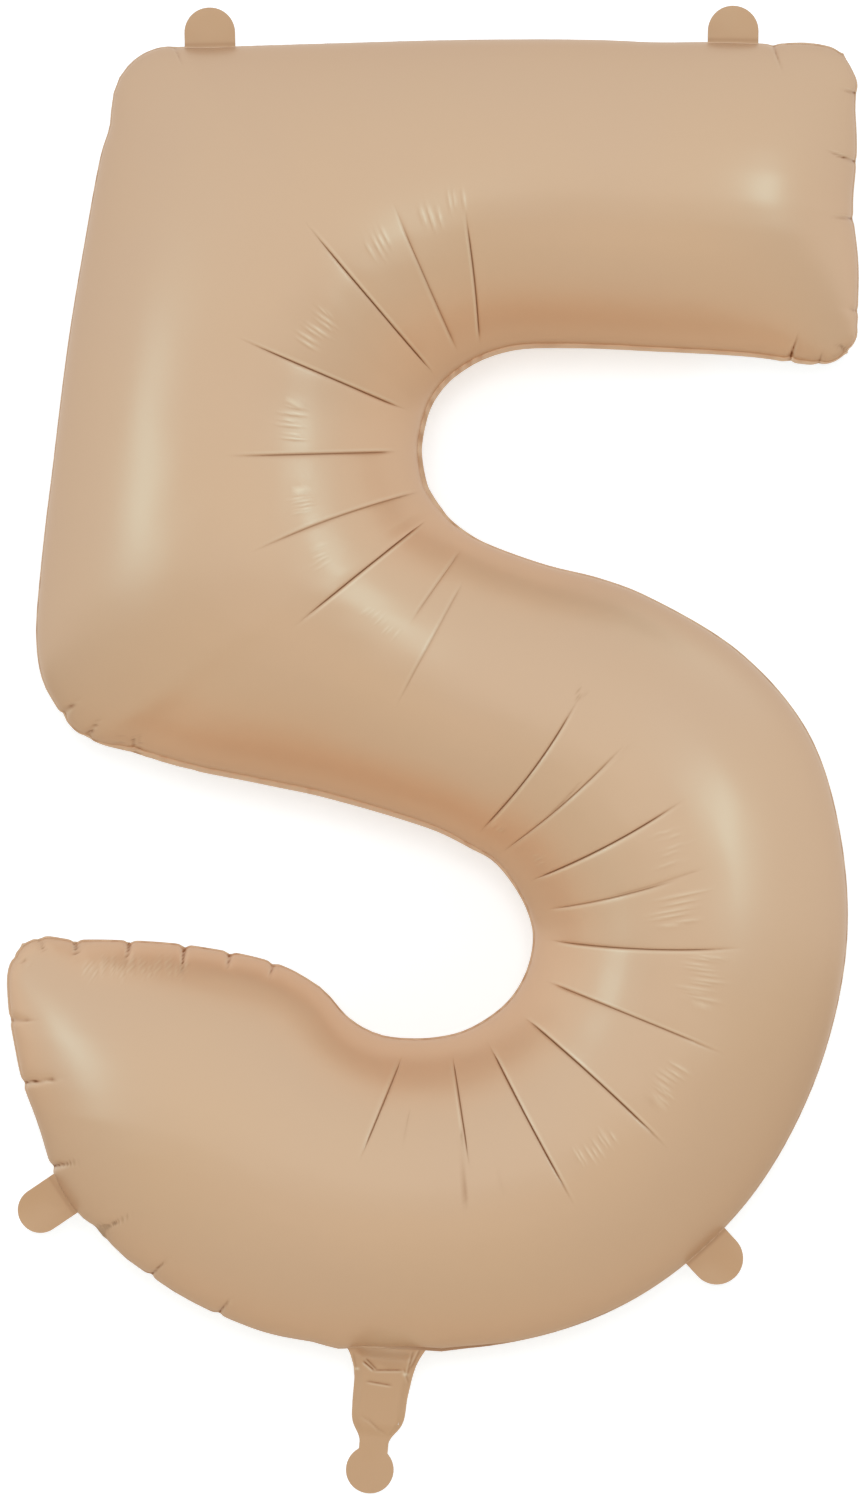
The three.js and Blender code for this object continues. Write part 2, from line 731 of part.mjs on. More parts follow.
// The origin is the middle of the balloon's box.
balloon.updateMatrixWorld(true);
const box = new THREE.Box3().setFromObject(balloon, true);
figure.position.sub(box.getCenter(new THREE.Vector3()));
balloon.updateMatrixWorld(true);

export default balloon;
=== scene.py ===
import json
import math

import bmesh
import bpy
import numpy as np
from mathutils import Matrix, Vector


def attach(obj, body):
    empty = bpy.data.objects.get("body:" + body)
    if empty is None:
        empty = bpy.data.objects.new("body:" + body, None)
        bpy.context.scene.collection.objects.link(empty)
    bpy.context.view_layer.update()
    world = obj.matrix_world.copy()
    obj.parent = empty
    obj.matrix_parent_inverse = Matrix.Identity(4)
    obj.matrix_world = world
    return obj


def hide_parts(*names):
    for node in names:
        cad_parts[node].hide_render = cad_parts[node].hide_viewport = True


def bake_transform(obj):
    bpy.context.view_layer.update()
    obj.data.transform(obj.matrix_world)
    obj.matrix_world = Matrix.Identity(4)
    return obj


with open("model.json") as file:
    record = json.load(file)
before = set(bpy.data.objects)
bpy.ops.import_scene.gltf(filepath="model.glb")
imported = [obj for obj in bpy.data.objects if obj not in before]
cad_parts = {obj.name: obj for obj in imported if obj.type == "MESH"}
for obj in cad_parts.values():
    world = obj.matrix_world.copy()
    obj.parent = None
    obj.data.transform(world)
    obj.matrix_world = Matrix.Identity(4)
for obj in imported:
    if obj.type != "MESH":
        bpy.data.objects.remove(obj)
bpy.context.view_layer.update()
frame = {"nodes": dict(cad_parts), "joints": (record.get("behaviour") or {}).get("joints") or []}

mm = 0.001
tiny = 1e-9
joints = {joint["name"]: joint for joint in frame["joints"]}

camera = {
    "aimX": -0.00128,
    "aimZ": -0.00083,
    "distance": 3.268,
    "lens": 135.0,
    "sensor": 36.0,
    "nearest": 0.05,
    "farthest": 30,
}


def addCamera():
    data = bpy.data.cameras.new("camera")
    data.lens = camera["lens"]
    data.sensor_fit = "VERTICAL"
    data.sensor_height = camera["sensor"]
    data.sensor_width = camera["sensor"]
    data.clip_start = camera["nearest"]
    data.clip_end = camera["farthest"]
    eye = bpy.data.objects.new("camera", data)
    eye.location = (camera["aimX"], -camera["distance"], camera["aimZ"])
    eye.rotation_euler = (math.pi / 2, 0, 0)
    bpy.context.collection.objects.link(eye)
    bpy.context.scene.camera = eye


addCamera()
print("camera set")


def smooth(value):
    value = np.clip(value, 0.0, 1.0)
    return value * value * (3 - 2 * value)


def fading(value, start, run):
    return 1 - smooth((value - start) / run)


def window(value, start, run, end, fade):
    # rises from 0 at the start, over the run, and falls back to 0 from the end, over the fade
    return smooth((value - start) / run) * fading(value, end, fade)


def pointed(off, reach):
    return np.exp(-np.abs(off) / reach)


def rounded(off, reach):
    return np.exp(-(off / reach) ** 2)


def runLength(points):
    # length along a run of points, up to each one
    return np.concatenate([[0], np.cumsum(np.linalg.norm(np.diff(points, axis=0), axis=-1))])


def stepCount(places, spacing):
    # how many steps of the wanted spacing lead to each place
    return np.concatenate([[0], np.cumsum(np.diff(places) / spacing[1:])])


def deselectAll():
    for each in bpy.context.selected_objects:
        each.select_set(False)


def newNode(tree, kind, **settings):
    node = tree.nodes.new(kind)
    for name, value in settings.items():
        if name in node.inputs.keys():
            node.inputs[name].default_value = value
        else:
            setattr(node, name, value)
    return node


def link(tree, fromNode, fromName, toNode, toName):
    tree.links.new(fromNode.outputs[fromName], toNode.inputs[toName])


# pairs of points on both edges of the stroke, from the bar's free end round to the tip, in mm:
# over x, over z, under x, under z
ribs = np.array([
    [239.6, 406.0, 242.6, 227.5], [221.6, 410.0, 224.6, 223.0], [178.1, 410.5, 184.1, 227.5],
    [120.1, 411.5, 131.6, 230.5], [56.1, 412.0, 73.1, 232.0], [6.1, 411.5, 29.1, 225.0],
    [-65.4, 409.5, 12.1, 215.5], [-135.9, 407.5, 6.0, 209.6], [-161.9, 407.5, 3.5, 206.4],
    [-183.4, 389.5, 0.8, 202.4], [-191.9, 353.5, -1.5, 197.9], [-206.4, 278.5, -4.0, 190.5],
    [-220.9, 168.0, -6.8, 173.0], [-231.9, 63.0, -3.4, 153.0], [-222.4, 28.0, -0.3, 147.0],
    [-198.4, 5.0, 2.3, 143.0], [-176.4, -2.0, 4.4, 140.0], [-135.9, -13.5, 9.0, 134.0],
    [-79.4, -23.5, 19.3, 125.7], [-51.4, -31.5, 29.6, 119.8], [-19.4, -41.0, 64.6, 107.0],
    [3.6, -49.0, 96.6, 99.0], [21.1, -58.0, 123.1, 89.0], [34.1, -65.5, 178.6, 55.5],
    [46.6, -81.5, 217.6, 9.5], [54.1, -98.0, 236.1, -48.5], [56.1, -111.0, 239.6, -118.0],
    [52.1, -130.5, 219.1, -199.0], [42.6, -146.5, 176.6, -270.0], [26.1, -159.5, 111.6, -322.5],
    [10.1, -166.0, 28.1, -347.5], [-14.4, -167.5, -85.9, -342.0], [-48.4, -155.0, -124.4, -329.0],
    [-83.4, -128.0, -147.4, -317.5], [-135.9, -115.0, -164.9, -306.0],
    [-187.9, -111.0, -179.4, -295.5], [-240.4, -112.0, -189.4, -285.5],
])
lastStation = len(ribs) - 1

figure = {
    "barEndBow": 6.0,
    "barEndReach": 2.0,
    "tipBow": 23.0,
    "tipReach": 3.0,
    "endSquareness": 3,
    "overFlange": ((0, 15, 16.2, 19, 21, 23, 25, 36), (0.9, 0.9, 3.2, 3.2, 2.6, 1.7, 1.0, 0.8)),
    "underFlange": ((0, 0.8, 1.3, 5, 8, 12, 15, 17, 19, 29.8, 30.2, 30.32, 30.6, 36),
                    (0.9, 0.9, 2.2, 3.0, 3.0, 2.6, 2.2, 1.5, 0.9, 0.9, 2.2, 2.2, 0.9, 0.9)),
    "endFlange": 0.9,
    "tangentStep": 0.02,
    # widest rim as a share of its rib, and the least that a slanting rib counts as square to the edge
    "widestRim": 0.2,
    "leastSquare": 0.45,
    # places where the outline swells or draws in: x, z, shift x, shift z, reach
    "swells": (
        (245.5, 386.5, 3.2, 0.6, 9.0),
        (243.0, 314.0, -3.6, 0.0, 24.0),
        (248.0, 244.5, 2.6, -0.4, 9.0),
        (-241.5, -130.5, -2.2, 0.5, 12.0),
        (-240.0, -113.5, 1.4, -1.6, 5.5),
        (-225.0, -112.0, 0.0, 2.6, 10.0),
        (-244.0, -172.0, 1.7, 0.0, 20.0),
        (-229.0, -221.0, 2.9, 1.0, 26.0),
        (-229.0, 90.0, 1.5, 0.0, 40.0),
        (-196.0, 375.0, 1.2, -0.4, 20.0),
        (-85.0, -24.0, 0.0, -1.4, 24.0),
        (-42.0, -160.0, -0.6, -2.2, 16.0),
        (239.6, 406.0, -1.5, -2.1, 6.5),
        (226.0, 411.5, 0.6, -0.6, 9.0),
        (247.5, 246.0, -1.8, 0.8, 5.0),
        (241.0, 228.5, -1.6, 2.0, 6.0),
        (48.0, 230.0, 0.0, 2.2, 22.0),
        (-63.0, -141.5, 1.5, 1.5, 13.0),
        (-29.0, -166.5, 0.3, -1.9, 14.0),
        (-195.6, -279.7, 1.5, 1.8, 7.0),
        (-56.0, -346.0, 0.0, -2.4, 9.0),
        (4.0, -348.5, 0.0, -1.2, 9.0),
        (53.0, -108.0, 1.5, 0.0, 40.0),
        (-189.0, 362.0, 1.3, -0.3, 10.0),
        (-205.0, 290.0, 0.9, 0.0, 42.0),
        (-159.0, 408.0, 0.0, -1.0, 11.0),
        (131.0, 410.0, 0.0, -1.1, 26.0),
        (197.0, 410.0, 0.0, -1.2, 14.0),
        (-208.5, 9.5, -1.2, -0.8, 8.0),
        (-221.0, 28.0, 0.8, 0.0, 8.0),
    ),
    # painted reflection beside both edges, by station: a warmer, brighter tint where the film would
    # mirror itself
    "overPaintedReflection": ((0, 8, 13.5, 14.5, 16, 19, 22, 24, 27, 31, 33, 34.5, 36),
                 (0.1, 0.1, 0.0, 0.3, 0.9, 1.0, 1.1, 0.8, 0.8, 1.1, 1.3, 1.2, 0.6)),
    "underPaintedReflection": ((0, 1, 1.6, 8, 12, 15, 18, 20, 22, 27, 28.5, 30, 33, 36),
                  (0.3, 0.3, 0.9, 0.9, 0.6, 0.8, 1.0, 0.8, 0.2, 0.1, 0.2, 0.4, 0.4, 0.1)),
    # tilt at which the painted reflection starts, and its run
    "paintedReflectionFrom": 0.1,
    "paintedReflectionOver": 0.36,
    "rimShade": ((3, 6, 14, 16, 29.7, 30.0, 30.3, 30.5), (0, 0.08, 0.08, 0, 0, 0.5, 0.5, 0)),
    # painted light over a band of tilt beside both edges, by station, then its tilt and spread, and a
    # patch beside the tail's root: x, z, reach x, reach z, strength
    "overPaintedLight": ((22, 24, 31, 32.6, 33.6, 35.2), (0, 0.1, 0.1, 0.36, 0.34, 0)),
    "underPaintedLight": ((16.5, 18.5, 20, 22, 24), (0, 0.26, 0.32, 0.34, 0)),
    "bandTilt": 0.37,
    "bandSpread": 0.13,
    "rootPaintedLight": (-27.0, -341.0, 16.0, 7.0, 0.45),
    "underFrom": 0.3,
    "underOver": 0.4,
    "flangePly": 0.35,
    "flangeGap": 0.1,
    "crimp": 0.35,
    "crimpWaves": ((1, 0.75, 0.4), (0.6, -0.33, 0.5)),
    "fullCrimp": 2.2,
    "fullness": 0.865,
    "wall": 0.5,
}


def edgePoints(columns, station):
    points = ribs[:, columns:columns + 2]
    first = 2 * points[0] - points[1]
    last = 2 * points[-1] - points[-2]
    padded = np.vstack([first, points, last])
    index = np.clip(np.floor(station).astype(int), 0, lastStation - 1)
    share = (station - index)[..., None]
    p0, p1, p2, p3 = (padded[index + k] for k in range(4))
    d0, d1, d2 = (
        np.sqrt(np.linalg.norm(b - a, axis=-1, keepdims=True))
        for a, b in ((p0, p1), (p1, p2), (p2, p3))
    )
    leave = ((p1 - p0) / d0 - (p2 - p0) / (d0 + d1) + (p2 - p1) / d1) * d1
    arrive = ((p2 - p1) / d1 - (p3 - p1) / (d1 + d2) + (p3 - p2) / d2) * d1
    square = share * share
    cube = square * share
    return (
        (2 * cube - 3 * square + 1) * p1
        + (cube - 2 * square + share) * leave
        + (3 * square - 2 * cube) * p2
        + (cube - square) * arrive
    )


def ribPoints(station, across):
    over = edgePoints(0, station)
    under = edgePoints(2, station)
    span = under - over
    along = span / np.linalg.norm(span, axis=-1, keepdims=True)
    nearBar = figure["barEndBow"] * (1 - smooth(station / figure["barEndReach"]))
    nearTip = figure["tipBow"] * (1 - smooth((lastStation - station) / figure["tipReach"]))
    swell = (nearTip - nearBar) * (1 - np.abs(2 * across - 1) ** figure["endSquareness"])
    side = np.stack([along[..., 1], -along[..., 0]], axis=-1)
    points = over + span * across[..., None] + swell[..., None] * side
    shift = np.zeros(points.shape)
    for x, z, dx, dz, reach in figure["swells"]:
        away = (points[..., 0] - x) ** 2 + (points[..., 1] - z) ** 2
        shift += np.exp(-away / reach ** 2)[..., None] * np.array([dx, dz])
    return points + shift


def rimShares(station):
    # share of a rib that the welded rim takes at its over end and at its under end
    over = edgePoints(0, station)
    under = edgePoints(2, station)
    span = under - over
    length = np.linalg.norm(span, axis=-1)
    shares = []
    for columns, widths in ((0, figure["overFlange"]), (2, figure["underFlange"])):
        step = figure["tangentStep"]
        ahead = edgePoints(columns, np.minimum(station + step, lastStation))
        back = edgePoints(columns, np.maximum(station - step, 0))
        tangent = (ahead - back) / np.linalg.norm(ahead - back, axis=-1, keepdims=True)
        square = np.abs(tangent[..., 0] * span[..., 1] - tangent[..., 1] * span[..., 0]) / length
        flange = np.interp(station, *widths)
        widest = flange / (length * np.maximum(figure["leastSquare"], square))
        shares.append(np.minimum(figure["widestRim"], widest))
    return shares


def planPoints(station, across):
    # across runs 0 to 1 between the two weld lines
    overRim, underRim = rimShares(station)
    return ribPoints(station, overRim + across * (1 - overRim - underRim))


def tableLookup(table, xs, ys, x, y):
    # straight-line reading between the entries of a table
    x = np.clip(x, xs[0], xs[-1])
    y = np.clip(y, ys[0], ys[-1])
    i = np.clip(np.searchsorted(xs, x, side="right") - 1, 0, len(xs) - 2)
    j = np.clip(np.searchsorted(ys, y, side="right") - 1, 0, len(ys) - 2)
    u = (x - xs[i]) / (xs[i + 1] - xs[i])
    v = (y - ys[j]) / (ys[j + 1] - ys[j])
    low = table[i, j] * (1 - v) + table[i, j + 1] * v
    high = table[i + 1, j] * (1 - v) + table[i + 1, j + 1] * v
    return low * (1 - u) + high * u


# depth of the gas-filled film over the flat figure, mm
gas = {
    "middlePoints": 1441,
    "edgePoints": 420,
    "endPoints": 24,
    "rays": 24,
    "leastReach": 1e-6,
    "plainWidth": 190.0,
    "plainEnd": 180,
    "tableRibs": 260,
    "tableAngles": 18,
    "tableInset": 3,
    "tableBlur": 2,
    "batches": 24,
}
fineStations = np.linspace(0, lastStation, gas["middlePoints"])
middleLength = runLength(planPoints(fineStations, np.full(len(fineStations), 0.5)))
barWeld = float(np.interp(figure["endFlange"], middleLength, fineStations))
tipWeld = float(np.interp(middleLength[-1] - figure["endFlange"], middleLength, fineStations))


def weldLoop():
    stations = np.linspace(barWeld, tipWeld, gas["edgePoints"])
    count = gas["endPoints"]
    ends = (1 - np.cos(np.pi * np.arange(1, count) / count)) / 2
    over = planPoints(stations, np.zeros(len(stations)))
    tip = planPoints(np.full(len(ends), tipWeld), ends)
    under = planPoints(stations[::-1], np.ones(len(stations)))
    bar = planPoints(np.full(len(ends), barWeld), ends[::-1])
    return np.vstack([over, tip, under, bar])


def gasDepth(points):
    # from the lengths of chords through each point to the weld on both sides
    rays = gas["rays"]
    loop = weldLoop()
    start = loop[None, :, :]
    edge = (np.roll(loop, -1, axis=0) - loop)[None, :, :]
    inverse = np.zeros(len(points))
    fromPoint = start - points[:, None, :]
    for ray in range(rays):
        angle = math.pi * (ray + 0.5) / rays
        dx, dz = math.cos(angle), math.sin(angle)
        cross = dx * edge[..., 1] - dz * edge[..., 0]
        cross = np.where(np.abs(cross) < tiny, tiny, cross)
        share = (dz * fromPoint[..., 0] - dx * fromPoint[..., 1]) / cross
        reach = (fromPoint[..., 0] * edge[..., 1] - fromPoint[..., 1] * edge[..., 0]) / cross
        hit = (share >= 0) & (share <= 1)
        ahead = np.where(hit & (reach > 0), reach, np.inf).min(axis=1)
        behind = np.where(hit & (reach <= 0), -reach, np.inf).min(axis=1)
        inverse += 1 / np.maximum(gas["leastReach"], ahead * behind)
    return np.sqrt(rays / inverse / 2)


def plainDepth(station, across):
    # depth of a straight strip with square ends, which the ratio table corrects
    place = np.interp(station, fineStations, middleLength)
    fromBar = np.maximum(0, place - figure["endFlange"])
    fromTip = np.maximum(0, middleLength[-1] - figure["endFlange"] - place)
    section = across * (1 - across) * gas["plainWidth"] ** 2
    wide = gas["plainEnd"]
    inverse = 1 / (section + tiny) + 1 / (wide * fromBar + tiny) + 1 / (wide * fromTip + tiny)
    return np.sqrt(1 / inverse)


def blurred(table, reach):
    steps = np.arange(-3 * reach, 3 * reach + 1)
    weights = np.exp(-0.5 * (steps / reach) ** 2)
    weights /= weights.sum()
    padded = np.pad(table, ((3 * reach, 3 * reach), (0, 0)), mode="edge")
    return sum(w * padded[k:k + len(table)] for k, w in enumerate(weights))


def depthTable():
    inset, count = gas["tableInset"], gas["tableAngles"]
    first = np.interp(figure["endFlange"] + inset, middleLength, fineStations)
    last = np.interp(middleLength[-1] - figure["endFlange"] - inset, middleLength, fineStations)
    places = np.linspace(*np.interp([first, last], fineStations, middleLength), gas["tableRibs"])
    stations = np.interp(places, middleLength, fineStations)
    angles = math.pi * (np.arange(count) + 0.5) / count
    across = (1 - np.cos(angles)) / 2
    s, b = np.meshgrid(stations, across, indexing="ij")
    points = planPoints(s.ravel(), b.ravel())
    depth = np.concatenate([gasDepth(part) for part in np.array_split(points, gas["batches"])])
    ratio = (depth / plainDepth(s.ravel(), b.ravel())).reshape(s.shape)
    return places, angles, blurred(ratio, gas["tableBlur"])


depthPlaces, depthAngles, depthRatio = depthTable()
print("depth table", depthRatio.shape, np.round([depthRatio.min(), depthRatio.max()], 2))


def filmDepth(station, across):
    place = np.interp(station, fineStations, middleLength)
    angle = np.arccos(np.clip(1 - 2 * across, -1, 1))
    ratio = tableLookup(depthRatio, depthPlaces, depthAngles, place, angle)
    return figure["fullness"] * plainDepth(station, across) * ratio


def asSeen(points, depth):
    # where the camera sees points that stand this far in front of the seam, mm
    aim = np.array([camera["aimX"], camera["aimZ"]]) / mm
    far = camera["distance"] / mm
    return aim + (points - aim) * (far / (far - depth))[..., None]


# folds of the film, mm
folds = {
    # station, inner end, outer end, bow, depth, width, side of its painted highlight
    "creases": [
        [5, 26.8, 236.6, 18.5, 311.2, -1.2, 0.85, 1.0, -1],
        [6, 13.5, 231.6, -22.1, 313.3, 0.0, 0.60, 1.5, -1],
        [8, -1.0, 218.8, -72.5, 303.0, 0.0, 1.00, 1.0, 1],
        [11, -18.5, 197.6, -111.1, 237.3, 0.0, 0.90, 1.1, 1],
        [12, -22.4, 172.4, -117.4, 169.9, 0.0, 0.70, 1.4, 1],
        [13, -9.2, 149.1, -104.1, 114.6, -2.4, 0.55, 1.5, 1],
        [16, -6.0, 131.5, -79.2, 72.3, 0.0, 0.95, 1.0, -1],
        [18, 15.0, 114.3, -12.3, 74.6, 0.0, 0.40, 1.4, 1],
        [19, 16.5, 95.7, -21.6, 24.8, 0.0, 0.35, 1.2, 1],
        [22, 27.8, -47.6, 83.4, 28.2, -3.2, 0.90, 1.0, 1],
        [23, 41.2, -59.2, 109.1, 0.7, -2.3, 0.65, 1.1, 1],
        [24, 57.7, -76.4, 143.3, -31.0, -2.6, 0.95, 1.0, 1],
        [25, 67.6, -93.4, 140.9, -76.4, -1.6, 0.55, 1.1, 1],
        [26, 69.3, -111.8, 175.0, -116.0, -2.7, 0.75, 1.1, 1],
        [27, 67.1, -135.8, 165.9, -176.1, 0.0, 0.70, 1.1, -1],
        [28, 54.2, -157.1, 134.0, -230.0, 1.0, 1.00, 1.0, -1],
        [29, 32.9, -173.0, 80.8, -263.4, -0.8, 0.95, 1.0, -1],
        [30, 11.3, -179.8, 20.7, -242.2, 0.0, 0.80, 1.0, 1],
        [31, -18.7, -179.8, -42.3, -237.6, 0.0, 0.75, 1.0, 1],
    ],
    # inner end, outer end, bow, depth, width
    "branches": [
        [66.3, -39.0, 85.9, -18.3, -0.6, 0.40, 0.8],
        [104.2, -9.0, 115.8, 3.8, 0.0, 0.25, 0.8],
        [83.4, 28.2, 84.6, 38.0, 0.0, 0.30, 0.8],
        [83.4, 28.2, 89.5, 33.1, 0.0, 0.35, 0.8],
        [101.8, -86.1, 158.0, -69.0, -1.0, 0.40, 1.0],
        [15.7, -217.8, 19.2, -268.0, 0.0, 0.55, 0.9],
        [-13.8, -208.7, -18.0, -231.5, 0.0, 0.20, 1.0],
        [36.7, -245.2, 40.5, -260.4, 0.0, 0.25, 0.9],
    ],
    # centre, direction of the streaks in degrees, their length, count, spacing, height
    "combs": [
        [-67.2, 243.8, -33, 15.1, 7, 3.6, 0.30],
        [-82.3, 190.9, -5, 15.7, 7, 3.7, 0.30],
        [-77.7, 143.8, 8, 11.6, 7, 2.2, 0.24],
        [-66.1, 111.3, 35, 9.9, 4, 3.2, 0.20],
        [-31.2, 73.5, 48, 7.0, 8, 3.2, 0.14],
        [-31.8, 293.2, -62, 15.1, 4, 3.8, 0.22],
        [-1.6, 309.4, -70, 17.4, 3, 4.1, 0.26],
        [13.0, 317.6, -80, 13.9, 3, 4.1, 0.20],
        [37.4, -46.1, 42, 5.8, 3, 2.6, 0.16],
        [60.0, -64.7, 33, 7.0, 3, 2.9, 0.16],
        [137.3, -56.6, 17, 23.2, 5, 4.6, 0.12],
        [141.4, -93.2, 12, 34.9, 5, 3.6, 0.24],
        [155.9, -133.9, -8, 24.1, 11, 2.8, 0.20],
        [135.0, -194.9, -32, 16.1, 8, 3.4, 0.26],
        [94.3, -232.1, -56, 13.6, 8, 3.4, 0.26],
        [-173.0, -127.0, 90, 15.7, 20, 3.1, 0.20],
    ],
    # point on the edge, inner end, bite into the edge, depth
    "puckers": [
        [-208.2, -110.6, -207.5, -124.0, 2.0, 1.00],
        [-177.0, -113.3, -178.8, -126.9, 1.6, 0.90],
        [-144.8, -115.0, -146.8, -133.9, 1.8, 1.00],
        [-118.4, -119.6, -119.8, -128.7, 1.5, 0.70],
        [-93.4, -125.2, -95.4, -134.5, 1.3, 0.60],
        [-228.2, -113.0, -225.8, -119.9, 1.2, 0.50],
        [-239.2, -122.8, -232.8, -125.2, 1.0, 0.30],
        [-242.1, -157.7, -227.6, -158.3, 1.0, 0.40],
        [-233.7, -193.7, -213.6, -191.4, 1.2, 0.90],
        [-220.0, -242.5, -203.2, -239.6, 1.6, 0.90],
        [-189.2, -278.0, -174.1, -269.8, 1.2, 0.60],
        [-163.7, -305.3, -153.2, -295.4, 1.2, 0.70],
        [-124.7, -327.9, -117.2, -318.1, 1.2, 0.70],
        [197.7, 407.6, 202.9, 393.1, 1.0, 0.45],
        [244.5, 380.9, 237.2, 383.2, 0.4, 0.70],
        [242.2, 342.0, 227.9, 347.8, 0.5, 0.80],
        [242.2, 308.0, 230.2, 309.4, 0.8, 0.70],
        [245.9, 254.2, 241.3, 255.4, 0.8, 0.35],
        [239.0, 232.1, 233.7, 235.6, 1.0, 0.50],
        [223.3, 222.3, 225.6, 230.4, 1.0, 0.50],
        [207.0, 225.8, 211.7, 240.9, 1.2, 1.00],
        [-214.8, 20.1, -206.1, 29.4, 1.4, 0.80],
        [-200.9, 7.3, -193.3, 18.9, 1.4, 0.70],
        [-174.1, -2.0, -174.7, 12.5, 0.8, 0.60],
        [-181.7, 0.9, -182.3, 9.6, 0.3, 0.30],
        [-171.2, -2.0, -170.6, 10.8, 0.3, 0.30],
        [-164.8, -9.5, -163.7, -4.9, 0.3, 0.20],
        [-142.2, -16.5, -141.0, -12.5, 0.8, 0.30],
        [-149.7, 405.9, -145.7, 396.6, 0.6, 0.30],
        [179.1, -285.5, 171.0, -278.5, 0.6, 0.30],
        [148.9, -314.6, 144.8, -306.4, 0.6, 0.30],
    ],
    # along a fold, as shares of its length: start, run, end, fade
    "coreRun": (-0.02, 0.13, 0.74, 0.3),
    "shoulderRun": (-0.1, 0.35, 0.55, 0.6),
    "branchRun": (-0.05, 0.25, 0.7, 0.35),
    "puckerRun": (-0.6, 0.4, 0.2, 0.9),
    "core": 0.9,
    "coreReach": 0.4,
    "branchReach": 0.8,
    "shoulder": 0.85,
    "shoulderReach": 5.0,
    "shadeReach": 0.37,
    # strength, distance off the fold and reach of the painted highlights on its edges
    "creasePaintedHighlight": (0.5, 1.5, 0.7),
    "puckerPaintedHighlight": (0.55, 1.1, 0.5),
    # a comb's streaks: strength and reach of their height, of their painted highlight and of the
    # painted shade between them, and for the shade also its distance off them
    "combHeight": (1.3, 0.75),
    "combPaintedHighlight": (2.2, 0.6),
    "combShade": (0.5, -1.3, 0.6),
    # how far the streaks of a comb differ in place and length
    "combJog": 0.14,
    "combSlip": 0.16,
    "combVary": 0.14,
    "puckerDepth": 1.1,
    "puckerReach": 0.5,
    "puckerShoulder": 0.5,
    "puckerSpread": 2.4,
    "puckerShade": 1.3,
    "puckerSide": 12,
    "biteReach": 2.2,
    "biteRun": (-1, 12),
    "biteStart": -8,
    "backVary": 0.4,
    # how the ribs are led along the creases: stations where they stay, and the search beside each
    "stillStations": (3.6, 20.5, 33),
    "searchReach": 0.95,
    "searchCount": 191,
    "searchShares": (-0.12, 1.1),
    "acrossCount": 41,
}


def foldPlace(points, inner, outer, bow):
    # distance along a bowed fold from its inner end as a share, and distance off it in mm
    inner = np.array(inner)
    reach = np.array(outer) - inner
    length = np.linalg.norm(reach)
    way = reach / length
    away = points - inner
    share = away @ way / length
    off = away @ np.array([way[1], -way[0]])
    inside = np.clip(share, 0, 1)
    curve = 4 * bow * inside * (1 - inside)
    curve = np.where(share < 0, 4 * bow * share, curve)
    curve = np.where(share > 1, -4 * bow * (share - 1), curve)
    return share, off + curve, length


acrossNodes = np.linspace(0, 1, folds["acrossCount"])


def creaseShift(crease):
    # how far the ribs shift, in stations, so that this rib follows its crease
    station = crease[0]
    tries = station + np.linspace(-folds["searchReach"], folds["searchReach"], folds["searchCount"])
    least, most = folds["searchShares"]
    shifts = np.full(len(acrossNodes), np.nan)
    for k, across in enumerate(acrossNodes):
        level = np.full(len(tries), across)
        points = asSeen(planPoints(tries, level), filmDepth(tries, level))
        share, off, length = foldPlace(points, crease[1:3], crease[3:5], crease[5])
        flips = np.nonzero(np.sign(off[:-1]) != np.sign(off[1:]))[0]
        if len(flips):
            best = flips[np.argmin(np.abs(tries[flips] - station))]
            part = off[best] / (off[best] - off[best + 1])
            if least < share[best] < most:
                shifts[k] = tries[best] + part * (tries[1] - tries[0]) - station
    known = np.nonzero(~np.isnan(shifts))[0]
    return np.interp(acrossNodes, acrossNodes[known], shifts[known])


creaseStations = np.array([crease[0] for crease in folds["creases"]], float)
shiftRows = np.array([creaseShift(crease) for crease in folds["creases"]])
stillStations = [0, *folds["stillStations"], lastStation]
anchorStations = np.concatenate([stillStations, creaseStations])
anchorShifts = np.vstack([np.zeros((len(stillStations), len(acrossNodes))), shiftRows])
anchorOrder = np.argsort(anchorStations)
anchorStations, anchorShifts = anchorStations[anchorOrder], anchorShifts[anchorOrder]
print("largest rib shift", round(float(np.abs(shiftRows).max()), 2))


def shifted(station, across):
    return station + tableLookup(anchorShifts, anchorStations, acrossNodes, station, across)


# ribs and rows of the fine grid, close together where the film is folded, mm
grid = {
    "ribs": 880,
    "rows": 82,
    "ring": 3,
    "lookedAt": 721,
    "middle": ((0, 4, 8, 19, 21, 24, 31, 36), (0.5, 0.5, 0.36, 0.42, 0.5, 0.62, 0.62, 0.5)),
    # usual step between ribs, then the least step at each kind of fold and how fast it grows
    "step": 4.6,
    "crease": (0.3, 0.26),
    "branch": (0.8, 0.3),
    "tallComb": (0.8, 0.3),
    "lowComb": (1.1, 0.3),
    "tallFrom": 0.17,
    "pucker": (0.45, 0.3),
    "puckerHalf": 0.8,
    "end": (0.4, 0.2),
    # rows: least step and its growth as shares of a rib, then in mm beside the marks at both ends
    "rowTries": 2001,
    "rowStep": (0.012, 0.045),
    "markStep": (0.5, 0.24),
    "endWidth": 180,
    "barMarks": (0.14, 0.36, 0.55, 0.85, 0.97),
    "tipMarks": (0.02, 0.25, 0.45, 0.73),
    "endRun": (14, 40),
    # the inner wall keeps every third rib and second row, and each rib where the rim's step is coarse
    "innerRibs": 3,
    "innerRows": 2,
    "coarseStep": 3.0,
}
seenStations, seenAcross = (
    part.ravel()
    for part in np.meshgrid(np.linspace(0, lastStation, grid["lookedAt"]), acrossNodes, indexing="ij")
)
seenPoints = asSeen(planPoints(seenStations, seenAcross), filmDepth(seenStations, seenAcross))


def featureStation(point):
    nearest = np.argmin(((seenPoints - np.array(point)) ** 2).sum(axis=1))
    return seenStations[nearest]


